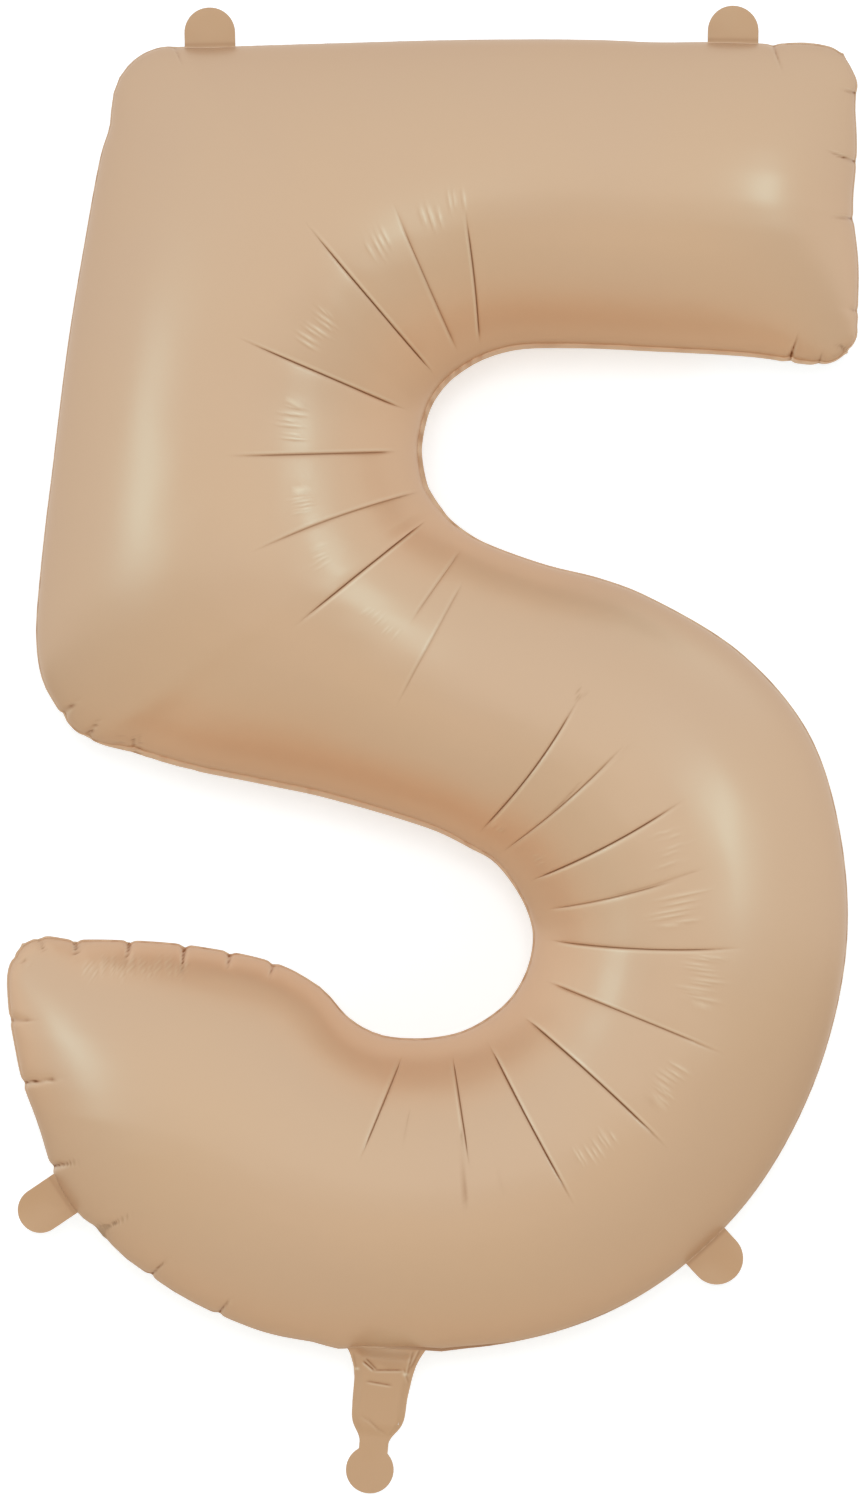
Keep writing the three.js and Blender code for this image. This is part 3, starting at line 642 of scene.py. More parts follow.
def gridStations():
    place = runLength(planPoints(fineStations, np.interp(fineStations, *grid["middle"])))
    spacing = np.full(len(place), grid["step"])

    def ask(low, high, least, grow):
        beyond = np.maximum(0, np.maximum(low - place, place - high))
        np.minimum(spacing, least + grow * beyond, out=spacing)

    def placeOf(station):
        return float(np.interp(station, fineStations, place))

    for crease in folds["creases"]:
        ask(placeOf(crease[0]), placeOf(crease[0]), *grid["crease"])
    for branch in folds["branches"]:
        ends = [placeOf(featureStation(branch[k:k + 2])) for k in (0, 2)]
        ask(min(ends), max(ends), *grid["branch"])
    for x, z, degrees, length, count, gap, height in folds["combs"]:
        turn = math.radians(degrees)
        side = np.array([-math.sin(turn), math.cos(turn)]) * gap * count / 2
        ends = [placeOf(featureStation(np.array([x, z]) + k * side)) for k in (-1, 1)]
        ask(min(ends), max(ends), *grid["tallComb" if height > grid["tallFrom"] else "lowComb"])
    for pucker in folds["puckers"]:
        at = placeOf(featureStation(pucker[:2]))
        ask(at - grid["puckerHalf"], at + grid["puckerHalf"], *grid["pucker"])
    ask(-1, figure["endFlange"], *grid["end"])
    ask(place[-1] - figure["endFlange"], place[-1], *grid["end"])
    count = stepCount(place, spacing)
    print("ribs asked for", int(count[-1]), "used", grid["ribs"])
    start = [0, barWeld / 2]
    end = [(tipWeld + lastStation) / 2, lastStation]
    inner = np.interp([barWeld, tipWeld], fineStations, count)
    between = grid["ribs"] - len(start) - len(end)
    stations = np.interp(np.linspace(*inner, between), count, fineStations)
    stations[0], stations[-1] = barWeld, tipWeld
    for station in creaseStations:
        stations[np.argmin(np.abs(stations - station))] = station
    return np.concatenate([start, stations, end])


stations = gridStations()
rowCount = grid["rows"]
ring = grid["ring"]
betweenRows = rowCount - 4  # without both rows of each rim


def acrossRows(marks):
    # rows from edge to edge, closer together at the edges and at the marks
    fine = np.linspace(0, 1, grid["rowTries"])
    length = grid["endWidth"]
    least, grow = grid["rowStep"]
    spacing = least + grow * np.sqrt(fine * (1 - fine))
    least, grow = grid["markStep"]
    for mark in marks:
        spacing = np.minimum(spacing, (least + grow * np.abs(fine - mark) * length) / length)
    count = stepCount(fine, spacing)
    rows = np.interp(np.linspace(0, count[-1], betweenRows), count, fine)
    return np.concatenate([[0, 0], rows, [1, 1]])


usualRows = (1 - np.cos(np.pi * np.arange(betweenRows) / (betweenRows - 1))) / 2
usualRows = np.concatenate([[0, 0], usualRows, [1, 1]])
barRows = acrossRows(grid["barMarks"])
tipRows = acrossRows(grid["tipMarks"])
place = np.interp(stations, fineStations, middleLength)
nearBar = fading(place, *grid["endRun"])[:, None]
nearTip = fading(middleLength[-1] - place, *grid["endRun"])[:, None]
acrossGrid = usualRows + nearBar * (barRows - usualRows) + nearTip * (tipRows - usualRows)
print("grid", len(stations), "x", rowCount)


def planGrid():
    s, b = np.repeat(stations[:, None], rowCount, axis=1), acrossGrid
    moved = shifted(s.ravel(), b.ravel()).reshape(s.shape)
    overRim, underRim = (part.reshape(s.shape) for part in rimShares(moved.ravel()))
    across = overRim + b * (1 - overRim - underRim)
    across[:, 0] = 0
    across[:, 1] = overRim[:, 1] / 2
    across[:, -2] = 1 - underRim[:, -2] / 2
    across[:, -1] = 1
    plan = ribPoints(moved.ravel(), across.ravel()).reshape(s.shape + (2,))
    depth = filmDepth(moved.ravel(), b.ravel()).reshape(s.shape)
    for rim in (slice(ring), slice(-ring, None)):
        depth[rim] = 0
        depth[:, rim] = 0
    return plan, depth, moved


plan, baseDepth, movedStations = planGrid()
steps = np.diff(movedStations, axis=0)
print("smallest rib step", float(steps.min()), "deepest", round(float(baseDepth.max()), 1))


def foldFields(vary):
    # how far the film is drawn in and stands proud, the painted shade in its folds, streaks and puckers
    # and the painted highlights beside them, and the bites of its edge, over the whole grid; vary is 1
    # on the back, where the folds are a little different
    points = asSeen(plan, baseDepth).reshape(-1, 2)
    dent, proud, shade, painted_light = (np.zeros(len(points)) for field in range(4))
    bite = np.zeros((len(points), 2))
    paintedLightShare, paintedLightOff, paintedLightReach = folds["creasePaintedHighlight"]
    for k, crease in enumerate(folds["creases"]):
        share, off, length = foldPlace(points, crease[1:3], crease[3:5], crease[5])
        strength = crease[6] * (1 + vary * folds["backVary"] * math.sin(2.3 * k + 1))
        core = window(share, *folds["coreRun"])
        wide = window(share, *folds["shoulderRun"])
        dent += strength * folds["core"] * core * pointed(off, folds["coreReach"] * crease[7])
        shade += strength * core * pointed(off, folds["shadeReach"] * crease[7])
        dent += strength * folds["shoulder"] * wide * pointed(off, folds["shoulderReach"])
        painted_light += paintedLightShare * strength * core * rounded(off - crease[8] * paintedLightOff, paintedLightReach)
    if not vary:
        for branch in folds["branches"]:
            share, off, length = foldPlace(points, branch[0:2], branch[2:4], branch[4])
            core = window(share, *folds["branchRun"])
            dent += branch[5] * folds["core"] * core * pointed(off, folds["branchReach"] * branch[6])
            shade += branch[5] * core * pointed(off, folds["shadeReach"])
    calm = 1 - folds["backVary"] * vary
    ridgeHeight, ridgeReach = folds["combHeight"]
    ridgeHighlight, ridgeHighlightReach = folds["combPaintedHighlight"]
    ridgeShade, shadeOff, shadeReach = folds["combShade"]
    for k, (x, z, degrees, length, count, gap, height) in enumerate(folds["combs"]):
        turn = math.radians(degrees)
        way = np.array([math.cos(turn), math.sin(turn)])
        side = np.array([-way[1], way[0]])
        # the sines scatter the streaks a little
        for streak in range(count):
            jog = folds["combJog"] * length * math.sin(5.1 * streak + 1.7 * k)
            slip = folds["combSlip"] * math.sin(3.7 * streak + k)
            half = length * (0.5 + folds["combVary"] * math.sin(2.9 * streak + 2 * k))
            middle = np.array([x, z]) + side * gap * (streak + slip - (count - 1) / 2) + way * jog
            along = (points - middle) @ way / half
            off = (points - middle) @ side
            ridge = np.where(np.abs(along) < 1, np.cos(np.pi / 2 * np.clip(along, -1, 1)) ** 2, 0)
            proud += ridgeHeight * height * calm * ridge * rounded(off, ridgeReach)
            painted_light += ridgeHighlight * height * calm * ridge * rounded(off, ridgeHighlightReach)
            shade += ridgeShade * height * ridge * rounded(off - shadeOff, shadeReach)
    paintedLightShare, paintedLightOff, paintedLightReach = folds["puckerPaintedHighlight"]
    for x, z, innerX, innerZ, depth, strength in folds["puckers"]:
        share, off, length = foldPlace(points, (x, z), (innerX, innerZ), 0)
        beside = np.abs(off) < folds["puckerSide"]
        near = folds["puckerDepth"] * pointed(off, folds["puckerReach"])
        near += folds["puckerShoulder"] * pointed(off, folds["puckerSpread"])
        run = np.where(beside, window(share, *folds["puckerRun"]), 0)
        dent += strength * near * run
        shade += folds["puckerShade"] * strength * run * pointed(off, folds["shadeReach"])
        painted_light += paintedLightShare * strength * run * rounded(off - paintedLightOff, paintedLightReach)
        inward = share * length
        hold = fading(inward, *folds["biteRun"])
        hold = np.where((inward > folds["biteStart"]) & beside, hold, 0)
        reach = rounded(off, folds["biteReach"])
        bite += (depth * hold * reach)[:, None] * np.array([innerX - x, innerZ - z]) / length
    shape = plan.shape[:2]
    fields = [field.reshape(shape) for field in (dent, proud, shade, painted_light)]
    return *fields, bite.reshape(shape + (2,))


def largestNear(field, ribReach, rowReach):
    result = field.copy()
    for axis, reach in ((0, ribReach), (1, rowReach)):
        padding = [(reach, reach) if k == axis else (0, 0) for k in range(2)]
        padded = np.pad(result, padding, mode="edge")
        size = result.shape[axis]
        near = [np.take(padded, range(k, k + size), axis) for k in range(2 * reach + 1)]
        result = np.max(near, axis=0)
    return result


def gridNormals(points):
    alongRibs = np.gradient(points, axis=0)
    alongRows = np.gradient(points, axis=1)
    normal = np.cross(alongRows, alongRibs)
    return normal / np.maximum(tiny, np.linalg.norm(normal, axis=-1, keepdims=True))


def lengthShares(points):
    # how far along a run of points each one lies, 0 to 1
    run = runLength(points)
    return run / run[-1]


def zipper(first, second, firstShares, secondShares):
    # faces of the strip between two runs of vertices of different counts, matched by length
    faces = []
    i = j = 0
    while i < len(first) - 1 or j < len(second) - 1:
        nextFirst = firstShares[i + 1] if i < len(first) - 1 else 2
        nextSecond = secondShares[j + 1] if j < len(second) - 1 else 2
        if nextFirst <= nextSecond:
            faces.append((first[i], first[i + 1], second[j]))
            i += 1
        else:
            faces.append((first[i], second[j + 1], second[j]))
            j += 1
    return faces


def quads(index):
    a, b, c, d = index[:-1, :-1], index[1:, :-1], index[1:, 1:], index[:-1, 1:]
    return np.stack([a, b, c, d], axis=-1).reshape(-1, 4)


def rimRun(index):
    return [index[:, 0], index[-1, :], index[::-1, -1], index[0, ::-1]]


skin = {
    "strongestMark": 1.5,
    "mergeWithin": 1e-6,
    "smoothDegrees": 50,
}


def closedFilm(name, outer, inner, marks):
    # closed shell between an outer grid and an inner grid, in mm, rims zipped together
    outerIndex = np.arange(outer.shape[0] * outer.shape[1]).reshape(outer.shape[:2])
    innerIndex = outerIndex.size + np.arange(inner.shape[0] * inner.shape[1]).reshape(inner.shape[:2])
    vertices = np.vstack([outer.reshape(-1, 3), inner.reshape(-1, 3)]) * mm
    faces = quads(outerIndex).tolist() + quads(innerIndex)[:, ::-1].tolist()
    for first, second in zip(rimRun(outerIndex), rimRun(innerIndex)):
        shares = lengthShares(vertices[first]), lengthShares(vertices[second])
        faces += [face[::-1] for face in zipper(first.tolist(), second.tolist(), *shares)]
    mesh = bpy.data.meshes.new(name)
    mesh.from_pydata(vertices.tolist(), [], faces)
    for mark, field in marks.items():
        layer = mesh.attributes.new(mark, "FLOAT", "POINT")
        shown = np.clip(field, 0, skin["strongestMark"]).ravel()
        values = np.concatenate([shown, np.zeros(innerIndex.size)])
        layer.data.foreach_set("value", values)
    piece = bpy.data.objects.new(name, mesh)
    bpy.context.collection.objects.link(piece)
    work = bmesh.new()
    work.from_mesh(mesh)
    bmesh.ops.remove_doubles(work, verts=work.verts, dist=skin["mergeWithin"])
    bmesh.ops.recalc_face_normals(work, faces=work.faces)
    work.to_mesh(mesh)
    work.free()
    mesh.validate()
    deselectAll()
    piece.select_set(True)
    bpy.context.view_layer.objects.active = piece
    bpy.ops.object.shade_smooth_by_angle(angle=math.radians(skin["smoothDegrees"]))
    piece.select_set(False)
    print(name, len(mesh.polygons), "faces")
    return piece


def flangeCrimp(points):
    # both films of the welded rim wave together, mm
    wave = np.zeros(points.shape[:2])
    for row, share in ((0, 1.0), (1, 0.5), (-2, 0.5), (-1, 1.0)):
        x, z = points[:, row, 0], points[:, row, 1]
        wave[:, row] = share * sum(height * np.sin(byX * x + byZ * z)
                                   for height, byX, byZ in figure["crimpWaves"])
    for edge, weld, rows in ((0, 2, slice(3)), (-1, -3, slice(-3, None))):
        width = np.linalg.norm(points[:, edge] - points[:, weld], axis=-1)
        wave[:, rows] *= np.minimum(1, width / figure["fullCrimp"])[:, None]
    return figure["crimp"] * wave


underShare = smooth((acrossGrid - figure["underFrom"]) / figure["underOver"])


def paintedSelfReflection(normal):
    # painted reflection: a warmer, brighter tint where a bend or an underside would mirror the film
    # itself
    over = np.interp(stations, *figure["overPaintedReflection"])[:, None]
    under = np.interp(stations, *figure["underPaintedReflection"])[:, None]
    tilt = 1 - np.abs(normal[..., 1])
    steep = smooth((tilt - figure["paintedReflectionFrom"]) / figure["paintedReflectionOver"])
    return (over + (under - over) * underShare) * steep


def weldedRim():
    # the welded rim darkened by station, added to the painted shade; strongest beside the tail's root
    rim = np.zeros(plan.shape[:2])
    rim[:, -ring:] = np.interp(movedStations[:, -ring:], *figure["rimShade"])
    return rim


def paintedLightBand(normal):
    # painted light over a band of tilt where the film mirrors the dark stroke across the notch, and
    # beside the tail's root where it mirrors the tail
    over = np.interp(stations, *figure["overPaintedLight"])[:, None]
    under = np.interp(stations, *figure["underPaintedLight"])[:, None]
    tilt = 1 - np.abs(normal[..., 1])
    band = rounded(tilt - figure["bandTilt"], figure["bandSpread"])
    x, z, reachX, reachZ, strength = figure["rootPaintedLight"]
    root = np.exp(-((plan[..., 0] - x) / reachX) ** 2 - ((plan[..., 1] - z) / reachZ) ** 2)
    return (over + (under - over) * underShare) * band + strength * root


def thinned(count, every, kept=()):
    # one index in every few, with all of the rim's and the kept ones
    rim = ring + 1
    return sorted({*range(0, count, every), *range(rim), *range(count - rim, count), *kept})


def filmPanel(name, side, vary):
    # side is -1 for the reader's side, 1 for the back
    dent, proud, shade, painted_light, bite = foldFields(vary)
    gap = figure["flangeGap"]
    face = gap + figure["flangePly"]
    base = np.dstack([plan + bite, side * (face + baseDepth)])[..., [0, 2, 1]]
    normal = gridNormals(base)
    normal *= np.sign(side * normal[..., 1:2] + tiny)
    # painted reflection, painted shade and painted light, kept as marks on the mesh
    painted_reflection = paintedSelfReflection(normal)
    shade += weldedRim()
    painted_light += paintedLightBand(normal)
    inRing = np.ones(plan.shape[:2], bool)
    inRing[ring:-ring, ring:-ring] = False
    lift = np.where(inRing, 0, proud - dent)[..., None]
    outer = base + normal * lift
    outer[..., 1] = side * np.maximum(face, side * outer[..., 1])
    deep = largestNear(dent, grid["innerRibs"], grid["innerRows"]) + figure["wall"]
    inner = base - normal * deep[..., None]
    inner[inRing] = base[inRing]
    inner[inRing, 1] = side * gap
    inner[..., 1] = side * np.maximum(gap, side * inner[..., 1])
    crimp = flangeCrimp(plan)
    outer[..., 1] += crimp
    inner[..., 1] += crimp
    step = np.linalg.norm(np.diff(plan[:, [0, -1]], axis=0), axis=-1).max(axis=1)
    coarse = np.flatnonzero(step > grid["coarseStep"])
    keepRibs = thinned(len(stations), grid["innerRibs"], [*coarse.tolist(), *(coarse + 1).tolist()])
    keepRows = thinned(rowCount, grid["innerRows"])
    inner = inner[np.ix_(keepRibs, keepRows)]
    return closedFilm(name, outer, inner, {"painted_shade": shade, "painted_light": painted_light, "painted_reflection": painted_reflection})


frontFilm = filmPanel("front_film", -1, 0)
backFilm = filmPanel("back_film", 1, 1)


# flaps of welded film: tabs and tail, mm
flaps = {
    # joint, body, width, reach, shift along the root
    "tabs": {
        "tab_top_left": ("top_left_tab_fold", "top_left_tab", 29.5, 21.5, 1.5),
        "tab_top_right": ("top_right_tab_fold", "top_right_tab", 29.5, 19.9, -1.5),
        "tab_lower_right": ("lower_right_tab_fold", "lower_right_tab", 30.6, 24.2, 0.0),
        "tab_lower_left": ("lower_left_tab_fold", "lower_left_tab", 26.5, 28.5, 0.0),
    },
    "rooted": 3.2,
    "columns": 25,
    "straightRows": 16,
    "roundRows": 14,
    "tipHalf": 0.02,
    # painted shade along a tab's root: strength and reach
    "rootPaintedShade": (0.22, 1.1),
    # thickness of a tab, of each ply of the tail and of its end tab
    "tabThick": 0.32,
    "tailThick": 0.16,
    "endThick": 0.14,
    # height of the curl, its run from the root, radians per mm along the root, first angle
    "tabCurl": (0.5, 12, 0.21, 0.9),
    "tabCurlRise": 10,
    "endCurl": (0.4, 12, 0.24, 0.4),
    # run of each bend, inwards and outwards from its fold line
    "tabBend": (1.0, 3.0),
    "tailBend": (1.0, 3.5),
    "endBend": (1.0, 2.5),
    # distance from the fold line, then how far the edge stands from the joint's axis
    "tailLeft": ((-3.2, 0, 3.2, 10, 16.7, 30.3, 40, 44, 46, 48.5, 50.5, 53, 60),
                 (25.5, 22.6, 20.5, 17.9, 16.7, 16.7, 16.3, 15.0, 13.9, 12.2, 11.0, 10.5, 10.5)),
    "tailRight": ((-3.2, -1.4, 3, 8, 13.8, 27.5, 37, 42, 46, 48.5, 50.5, 53, 60),
                  (23.8, 22.6, 20.2, 18.2, 16.9, 14.9, 14.6, 13.6, 11.1, 8.9, 7.2, 6.4, 6.4)),
    "tailEnd": 54.0,
    "tailFineTo": 22,
    "tailRows": (58, 42),
    "tailColumns": 75,
    "edgeBlur": 3,
    "endRadius": 13.9,
    "endNeck": 15.4,
    "endShift": 3.1,
    "endRooted": 2.5,
    "endRows": (5, 30),
    "rowGap": 0.2,
    "endTurn": -0.46,
    "puff": 1.6,
    "puffRun": (-1, 7, 42, 9),
    "puffEdge": 0.35,
    "pressedEdge": 0.12,
    "plyGap": 0.1,
    "valveRoom": 1.05,
    # both ends of each fold, depth, painted shade
    "tailFolds": (
        (12.3, 7.0, 5.7, 11.7, 0.5, 1.2),
        (11.0, 5.3, 4.1, 11.1, 0.3, 0.8),
        (5.7, 11.7, -10.9, 10.2, 0.5, 0.7),
        (9.2, 18.4, -5.2, 19.6, 0.25, 0.75),
        (10.4, 38.5, -4.5, 48.2, 0.12, 0.2),
        (6.8, 39.3, -0.9, 47.4, 0.1, 0.15),
        (-15.9, -0.6, -13.7, 13.6, 0.5, 0.6),
        (-19.9, -2.1, -15.6, 8.8, 0.4, 0.7),
        (18.8, 2.5, 15.5, 13.8, 0.4, 0.3),
        (-11.5, 9.0, -15.0, 17.5, 0.3, 0.35),
    ),
    # painted highlights on the tail: across, down, reach
    "tailPaintedHighlights": ((15.8, 11.8, 1.3), (-12.9, 12.6, 1.6)),
    "spotPaintedHighlight": 0.8,
    "spotSquash": 1.6,
    "foldReach": 0.38,
    "foldRun": (-0.1, 0.3, 0.8, 0.3),
    # painted highlight beside a fold: strength, distance off it, reach
    "foldPaintedHighlight": (0.5, 1.1, 0.5),
    # the gathered film at the tail's root: slant, waves, run, half width and its fade, painted shade,
    # painted light
    "gatherSlant": 0.12,
    "gatherWaves": (0.8, 0.5),
    "gatherRun": (-4, 6, 7.5, 4),
    "gatherHalf": (6, 12),
    "gatherPaintedShade": 0.12,
    "gatherPaintedLight": (0.3, 1.5, 3),
}


def rootFrame(joint):
    # a fold line's middle in m, its direction, and the direction away from the film
    x, z = joints[joint]["axis"][0], joints[joint]["axis"][2]
    return np.array(joints[joint]["pos_m"]), np.array([x, 0, z]), np.array([-z, 0, x])


def placeOn(joint, local):
    # local columns: along the root, out of the figure's plane, away from the root, mm
    origin, along, outward = rootFrame(joint)
    depth = np.array([0, 1, 0])
    return origin / mm + local[..., 0:1] * along + local[..., 1:2] * depth + local[..., 2:3] * outward


def flapGrid(downs, lefts, rights, heights, thickness, columns):
    u = np.linspace(-1, 1, columns)
    x = (lefts - rights)[:, None] / 2 + (lefts + rights)[:, None] / 2 * u[None, :]
    z = np.repeat(downs[:, None], columns, axis=1)
    y = heights(x, z, u[None, :])
    return np.dstack([x, y - thickness / 2, z]), np.dstack([x, y + thickness / 2, z])


def curl(x, z, height, run, waves, start):
    return height * smooth(z / run) * np.sin(waves * x + start)


def roundTab(name, joint, width, reach, shift):
    radius = width / 2
    turn = np.linspace(0, math.pi / 2, flaps["roundRows"])
    straight = np.linspace(-flaps["rooted"], reach - radius, flaps["straightRows"])
    downs = np.concatenate([straight[:-1], reach - radius + radius * np.sin(turn)])
    disc = np.sqrt(np.maximum(0, radius ** 2 - (downs - reach + radius) ** 2))
    halves = np.where(downs > reach - radius, disc, radius)
    halves[-1] = flaps["tipHalf"]

    def wave(x, z, u):
        return curl(x, z, *flaps["tabCurl"]) * smooth((z + 1) / flaps["tabCurlRise"])

    front, back = flapGrid(downs, halves + shift, halves - shift, wave, flaps["tabThick"],
                           flaps["columns"])
    # painted shade along the root, and no painted light
    strength, width = flaps["rootPaintedShade"]
    line = strength * rounded(front[..., 2], width)
    piece = closedFilm(name, placeOn(joint, front), placeOn(joint, back),
                       {"painted_shade": line, "painted_light": 0 * line})
    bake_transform(piece)
    return piece


tabPieces = {}
for node, (joint, body, width, reach, shift) in flaps["tabs"].items():
    tabPieces[node] = roundTab(node + "_film", joint, width, reach, shift)
    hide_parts(node)


def tailMarks(acrossRoot, fromRoot):
    # folds pressed into a ply, the painted shade in them, painted highlights on their edges and in
    # spots, and painted shade and light at the root
    points = np.stack([acrossRoot.ravel(), fromRoot.ravel()], axis=-1)
    paintedLightShare, paintedLightOff, paintedLightReach = flaps["foldPaintedHighlight"]
    dent = np.zeros(len(points))
    shade = np.zeros(len(points))
    painted_light = np.zeros(len(points))
    for x0, z0, x1, z1, depth, dark in flaps["tailFolds"]:
        share, off, length = foldPlace(points, (x0, z0), (x1, z1), 0)
        run = window(share, *flaps["foldRun"])
        dent += depth * run * pointed(off, 2 * flaps["foldReach"])
        shade += dark * run * pointed(off, flaps["foldReach"])
        painted_light += paintedLightShare * dark * run * rounded(off - paintedLightOff, paintedLightReach)
    x, z = points[:, 0], points[:, 1]
    for x0, z0, reach in flaps["tailPaintedHighlights"]:
        away = (x - x0) ** 2 + ((z - z0) * flaps["spotSquash"]) ** 2
        painted_light += flaps["spotPaintedHighlight"] * np.exp(-away / reach ** 2)
    height, waves = flaps["gatherWaves"]
    slant = z + flaps["gatherSlant"] * x + height * np.sin(waves * x)
    inside = fading(np.abs(x), *flaps["gatherHalf"])
    shade += flaps["gatherPaintedShade"] * window(slant, *flaps["gatherRun"]) * inside
    paintedLightShare, middle, reach = flaps["gatherPaintedLight"]
    painted_light += paintedLightShare * rounded(z - middle, reach) * inside
    return [field.reshape(acrossRoot.shape) for field in (dent, shade, painted_light)]


def tailFilm(name, side):
    fineRows, plainRows = flaps["tailRows"]
    fine = np.linspace(-flaps["rooted"], flaps["tailFineTo"], fineRows)
    downs = np.concatenate([fine[:-1], np.linspace(flaps["tailFineTo"], flaps["tailEnd"], plainRows)])

    def puff(x, z, u):
        inward = 1 - np.abs(u)
        lift = flaps["puff"] * window(z, *flaps["puffRun"]) * smooth(inward / flaps["puffEdge"])
        pressed = tailMarks(x, z)[0] * smooth(inward / flaps["pressedEdge"])
        pressed = np.minimum(pressed, np.maximum(0, lift - flaps["valveRoom"]))
        return side * (flaps["plyGap"] + np.maximum(0, lift - pressed))

    lefts = np.interp(downs, *flaps["tailLeft"])
    rights = np.interp(downs, *flaps["tailRight"])
    blur = flaps["edgeBlur"]
    width = 2 * blur + 1
    for edge in (lefts, rights):
        padded = np.pad(edge, blur, mode="edge")
        edge[blur:-blur] = sum(padded[k:k + len(edge)] for k in range(width))[blur:-blur] / width
    front, back = flapGrid(downs, lefts, rights, puff, flaps["tailThick"], flaps["tailColumns"])
    shade, painted_light = tailMarks(front[..., 0], front[..., 2])[1:]
    piece = closedFilm(name, placeOn("tail_fold", front), placeOn("tail_fold", back),
                       {"painted_shade": shade, "painted_light": painted_light})
    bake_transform(piece)
    return piece


tailFront = tailFilm("tail_front_ply", -1)
tailBack = tailFilm("tail_back_ply", 1)
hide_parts("tail_front_film")
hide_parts("tail_back_film")


def endTab():
    radius, neck, shift = flaps["endRadius"], flaps["endNeck"], flaps["endShift"]
    rootRows, roundRows = flaps["endRows"]
    turn = np.linspace(flaps["endTurn"] * math.pi, math.pi / 2, roundRows)
    rounds = neck + radius * np.sin(turn)
    straight = np.linspace(-flaps["endRooted"], rounds[0] - flaps["rowGap"], rootRows)
    downs = np.concatenate([straight, rounds])
    disc = np.sqrt(np.maximum(0, radius ** 2 - (downs - neck) ** 2))

    def edge(table, shift):
        # the tail's own edge above the disc's middle, where that is wider
        tailEdge = np.where(downs > neck, -radius, np.interp(flaps["tailEnd"] + downs, *table))
        half = np.maximum(tailEdge, disc + shift)
        half[-1] = flaps["tipHalf"] + shift
        return half

    def flat(x, z, u):
        return curl(x, z, *flaps["endCurl"])

    lefts, rights = edge(flaps["tailLeft"], shift), edge(flaps["tailRight"], -shift)
    front, back = flapGrid(downs, lefts, rights, flat, flaps["endThick"], flaps["columns"])
    none = np.zeros(front.shape[:2])
    piece = closedFilm("end_tab_film", placeOn("end_tab_fold", front), placeOn("end_tab_fold", back),
                       {"painted_shade": none, "painted_light": none})
    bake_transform(piece)
    return piece


endPiece = endTab()
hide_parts("tail_end_tab")

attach(frontFilm, "envelope")
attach(backFilm, "envelope")
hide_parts("front_panel")
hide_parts("back_panel")


def filmArea(piece):
    # a film's area is half of its closed mesh's
    return sum(face.area for face in piece.data.polygons) / 2


print("film areas", [round(filmArea(piece), 5) for piece in
                     (frontFilm, backFilm, *tabPieces.values(), tailFront, tailBack, endPiece)])


foil = {
    # colour, metallic, roughness
    "front": ((0.65, 0.458, 0.297), 0.45, 0.37),
    "back": ((0.65, 0.458, 0.297), 0.45, 0.37),
    "welded": ((0.58, 0.38, 0.225), 0.45, 0.40),
    "milky": ((0.75, 0.72, 0.68), 0.0, 0.5),
    "specularTint": (0.78, 0.58, 0.40, 1),
    "specular": 0.3,
    "coat": 0.08,
    "coatRoughness": 0.28,
    # shares of the film's own colour in its clouds, and in its painted reflection where it faces itself
    "cloudTint": (0.96, 0.97, 1.04),
    "paintedReflectionTint": (1.13, 1.07, 1.06),
    # colour multiplied in by the painted shade of folds, puckers, streaks and roots
    "paintedShadeColour": (0.42, 0.22, 0.11, 1),
    # colour of the painted light
    "paintedLightColour": (0.80, 0.68, 0.50, 1),
    "cloudScale": 9.0,
    "cloudDetail": 2.0,
    "grainScale": 900.0,
    "grainDetail": 3.0,
    "grainStrength": 0.05,
    "grainHeight": 0.0002,
}


def newMaterial(name):
    material = bpy.data.materials.new(name)
    material.use_nodes = True
    tree = material.node_tree
    tree.nodes.clear()
    return material, tree, newNode(tree, "ShaderNodeOutputMaterial")


def tinted(colour, tint):
    return (*(a * b for a, b in zip(colour, tint)), 1)


def filmMaterial(name, colour, metallic, roughness, marked=True):
    material, tree, out = newMaterial(name)
    shader = newNode(tree, "ShaderNodeBsdfPrincipled", Metallic=metallic, Roughness=roughness)
    shader.inputs["Specular Tint"].default_value = foil["specularTint"]
    shader.inputs["Specular IOR Level"].default_value = foil["specular"]
    shader.inputs["Coat Weight"].default_value = foil["coat"]
    shader.inputs["Coat Roughness"].default_value = foil["coatRoughness"]
    place = newNode(tree, "ShaderNodeTexCoord")
    cloud = newNode(tree, "ShaderNodeTexNoise", Scale=foil["cloudScale"], Detail=foil["cloudDetail"])
    # a mix has its colours at inputs 6 and 7 and at output 2
    tint = newNode(tree, "ShaderNodeMix", data_type="RGBA")
    tint.inputs[6].default_value = (*colour, 1)
    tint.inputs[7].default_value = tinted(colour, foil["cloudTint"])
    link(tree, place, "Object", cloud, "Vector")
    link(tree, cloud, 0, tint, 0)
    # the marks mix painted reflection, painted light and painted shade into the film's colour
    marks = {
        "painted_reflection": (tinted(colour, foil["paintedReflectionTint"]), {"clamp_factor": False}),
        "painted_light": (foil["paintedLightColour"], {}),
        "painted_shade": (foil["paintedShadeColour"], {"blend_type": "MULTIPLY"}),
    }
    if not marked:
        marks = {}
    for mark, (markColour, settings) in marks.items():
        strength = newNode(tree, "ShaderNodeAttribute", attribute_name=mark)
        mix = newNode(tree, "ShaderNodeMix", data_type="RGBA", **settings)
        mix.inputs[7].default_value = markColour
        link(tree, strength, "Fac", mix, "Factor")
        link(tree, tint, 2, mix, 6)
        tint = mix
    link(tree, tint, 2, shader, "Base Color")
    grain = newNode(tree, "ShaderNodeTexNoise", Scale=foil["grainScale"], Detail=foil["grainDetail"])
    bump = newNode(tree, "ShaderNodeBump", Strength=foil["grainStrength"], Distance=foil["grainHeight"])
    link(tree, place, "Object", grain, "Vector")
    link(tree, grain, 0, bump, "Height")
    link(tree, bump, "Normal", shader, "Normal")
    link(tree, shader, "BSDF", out, "Surface")
    return material


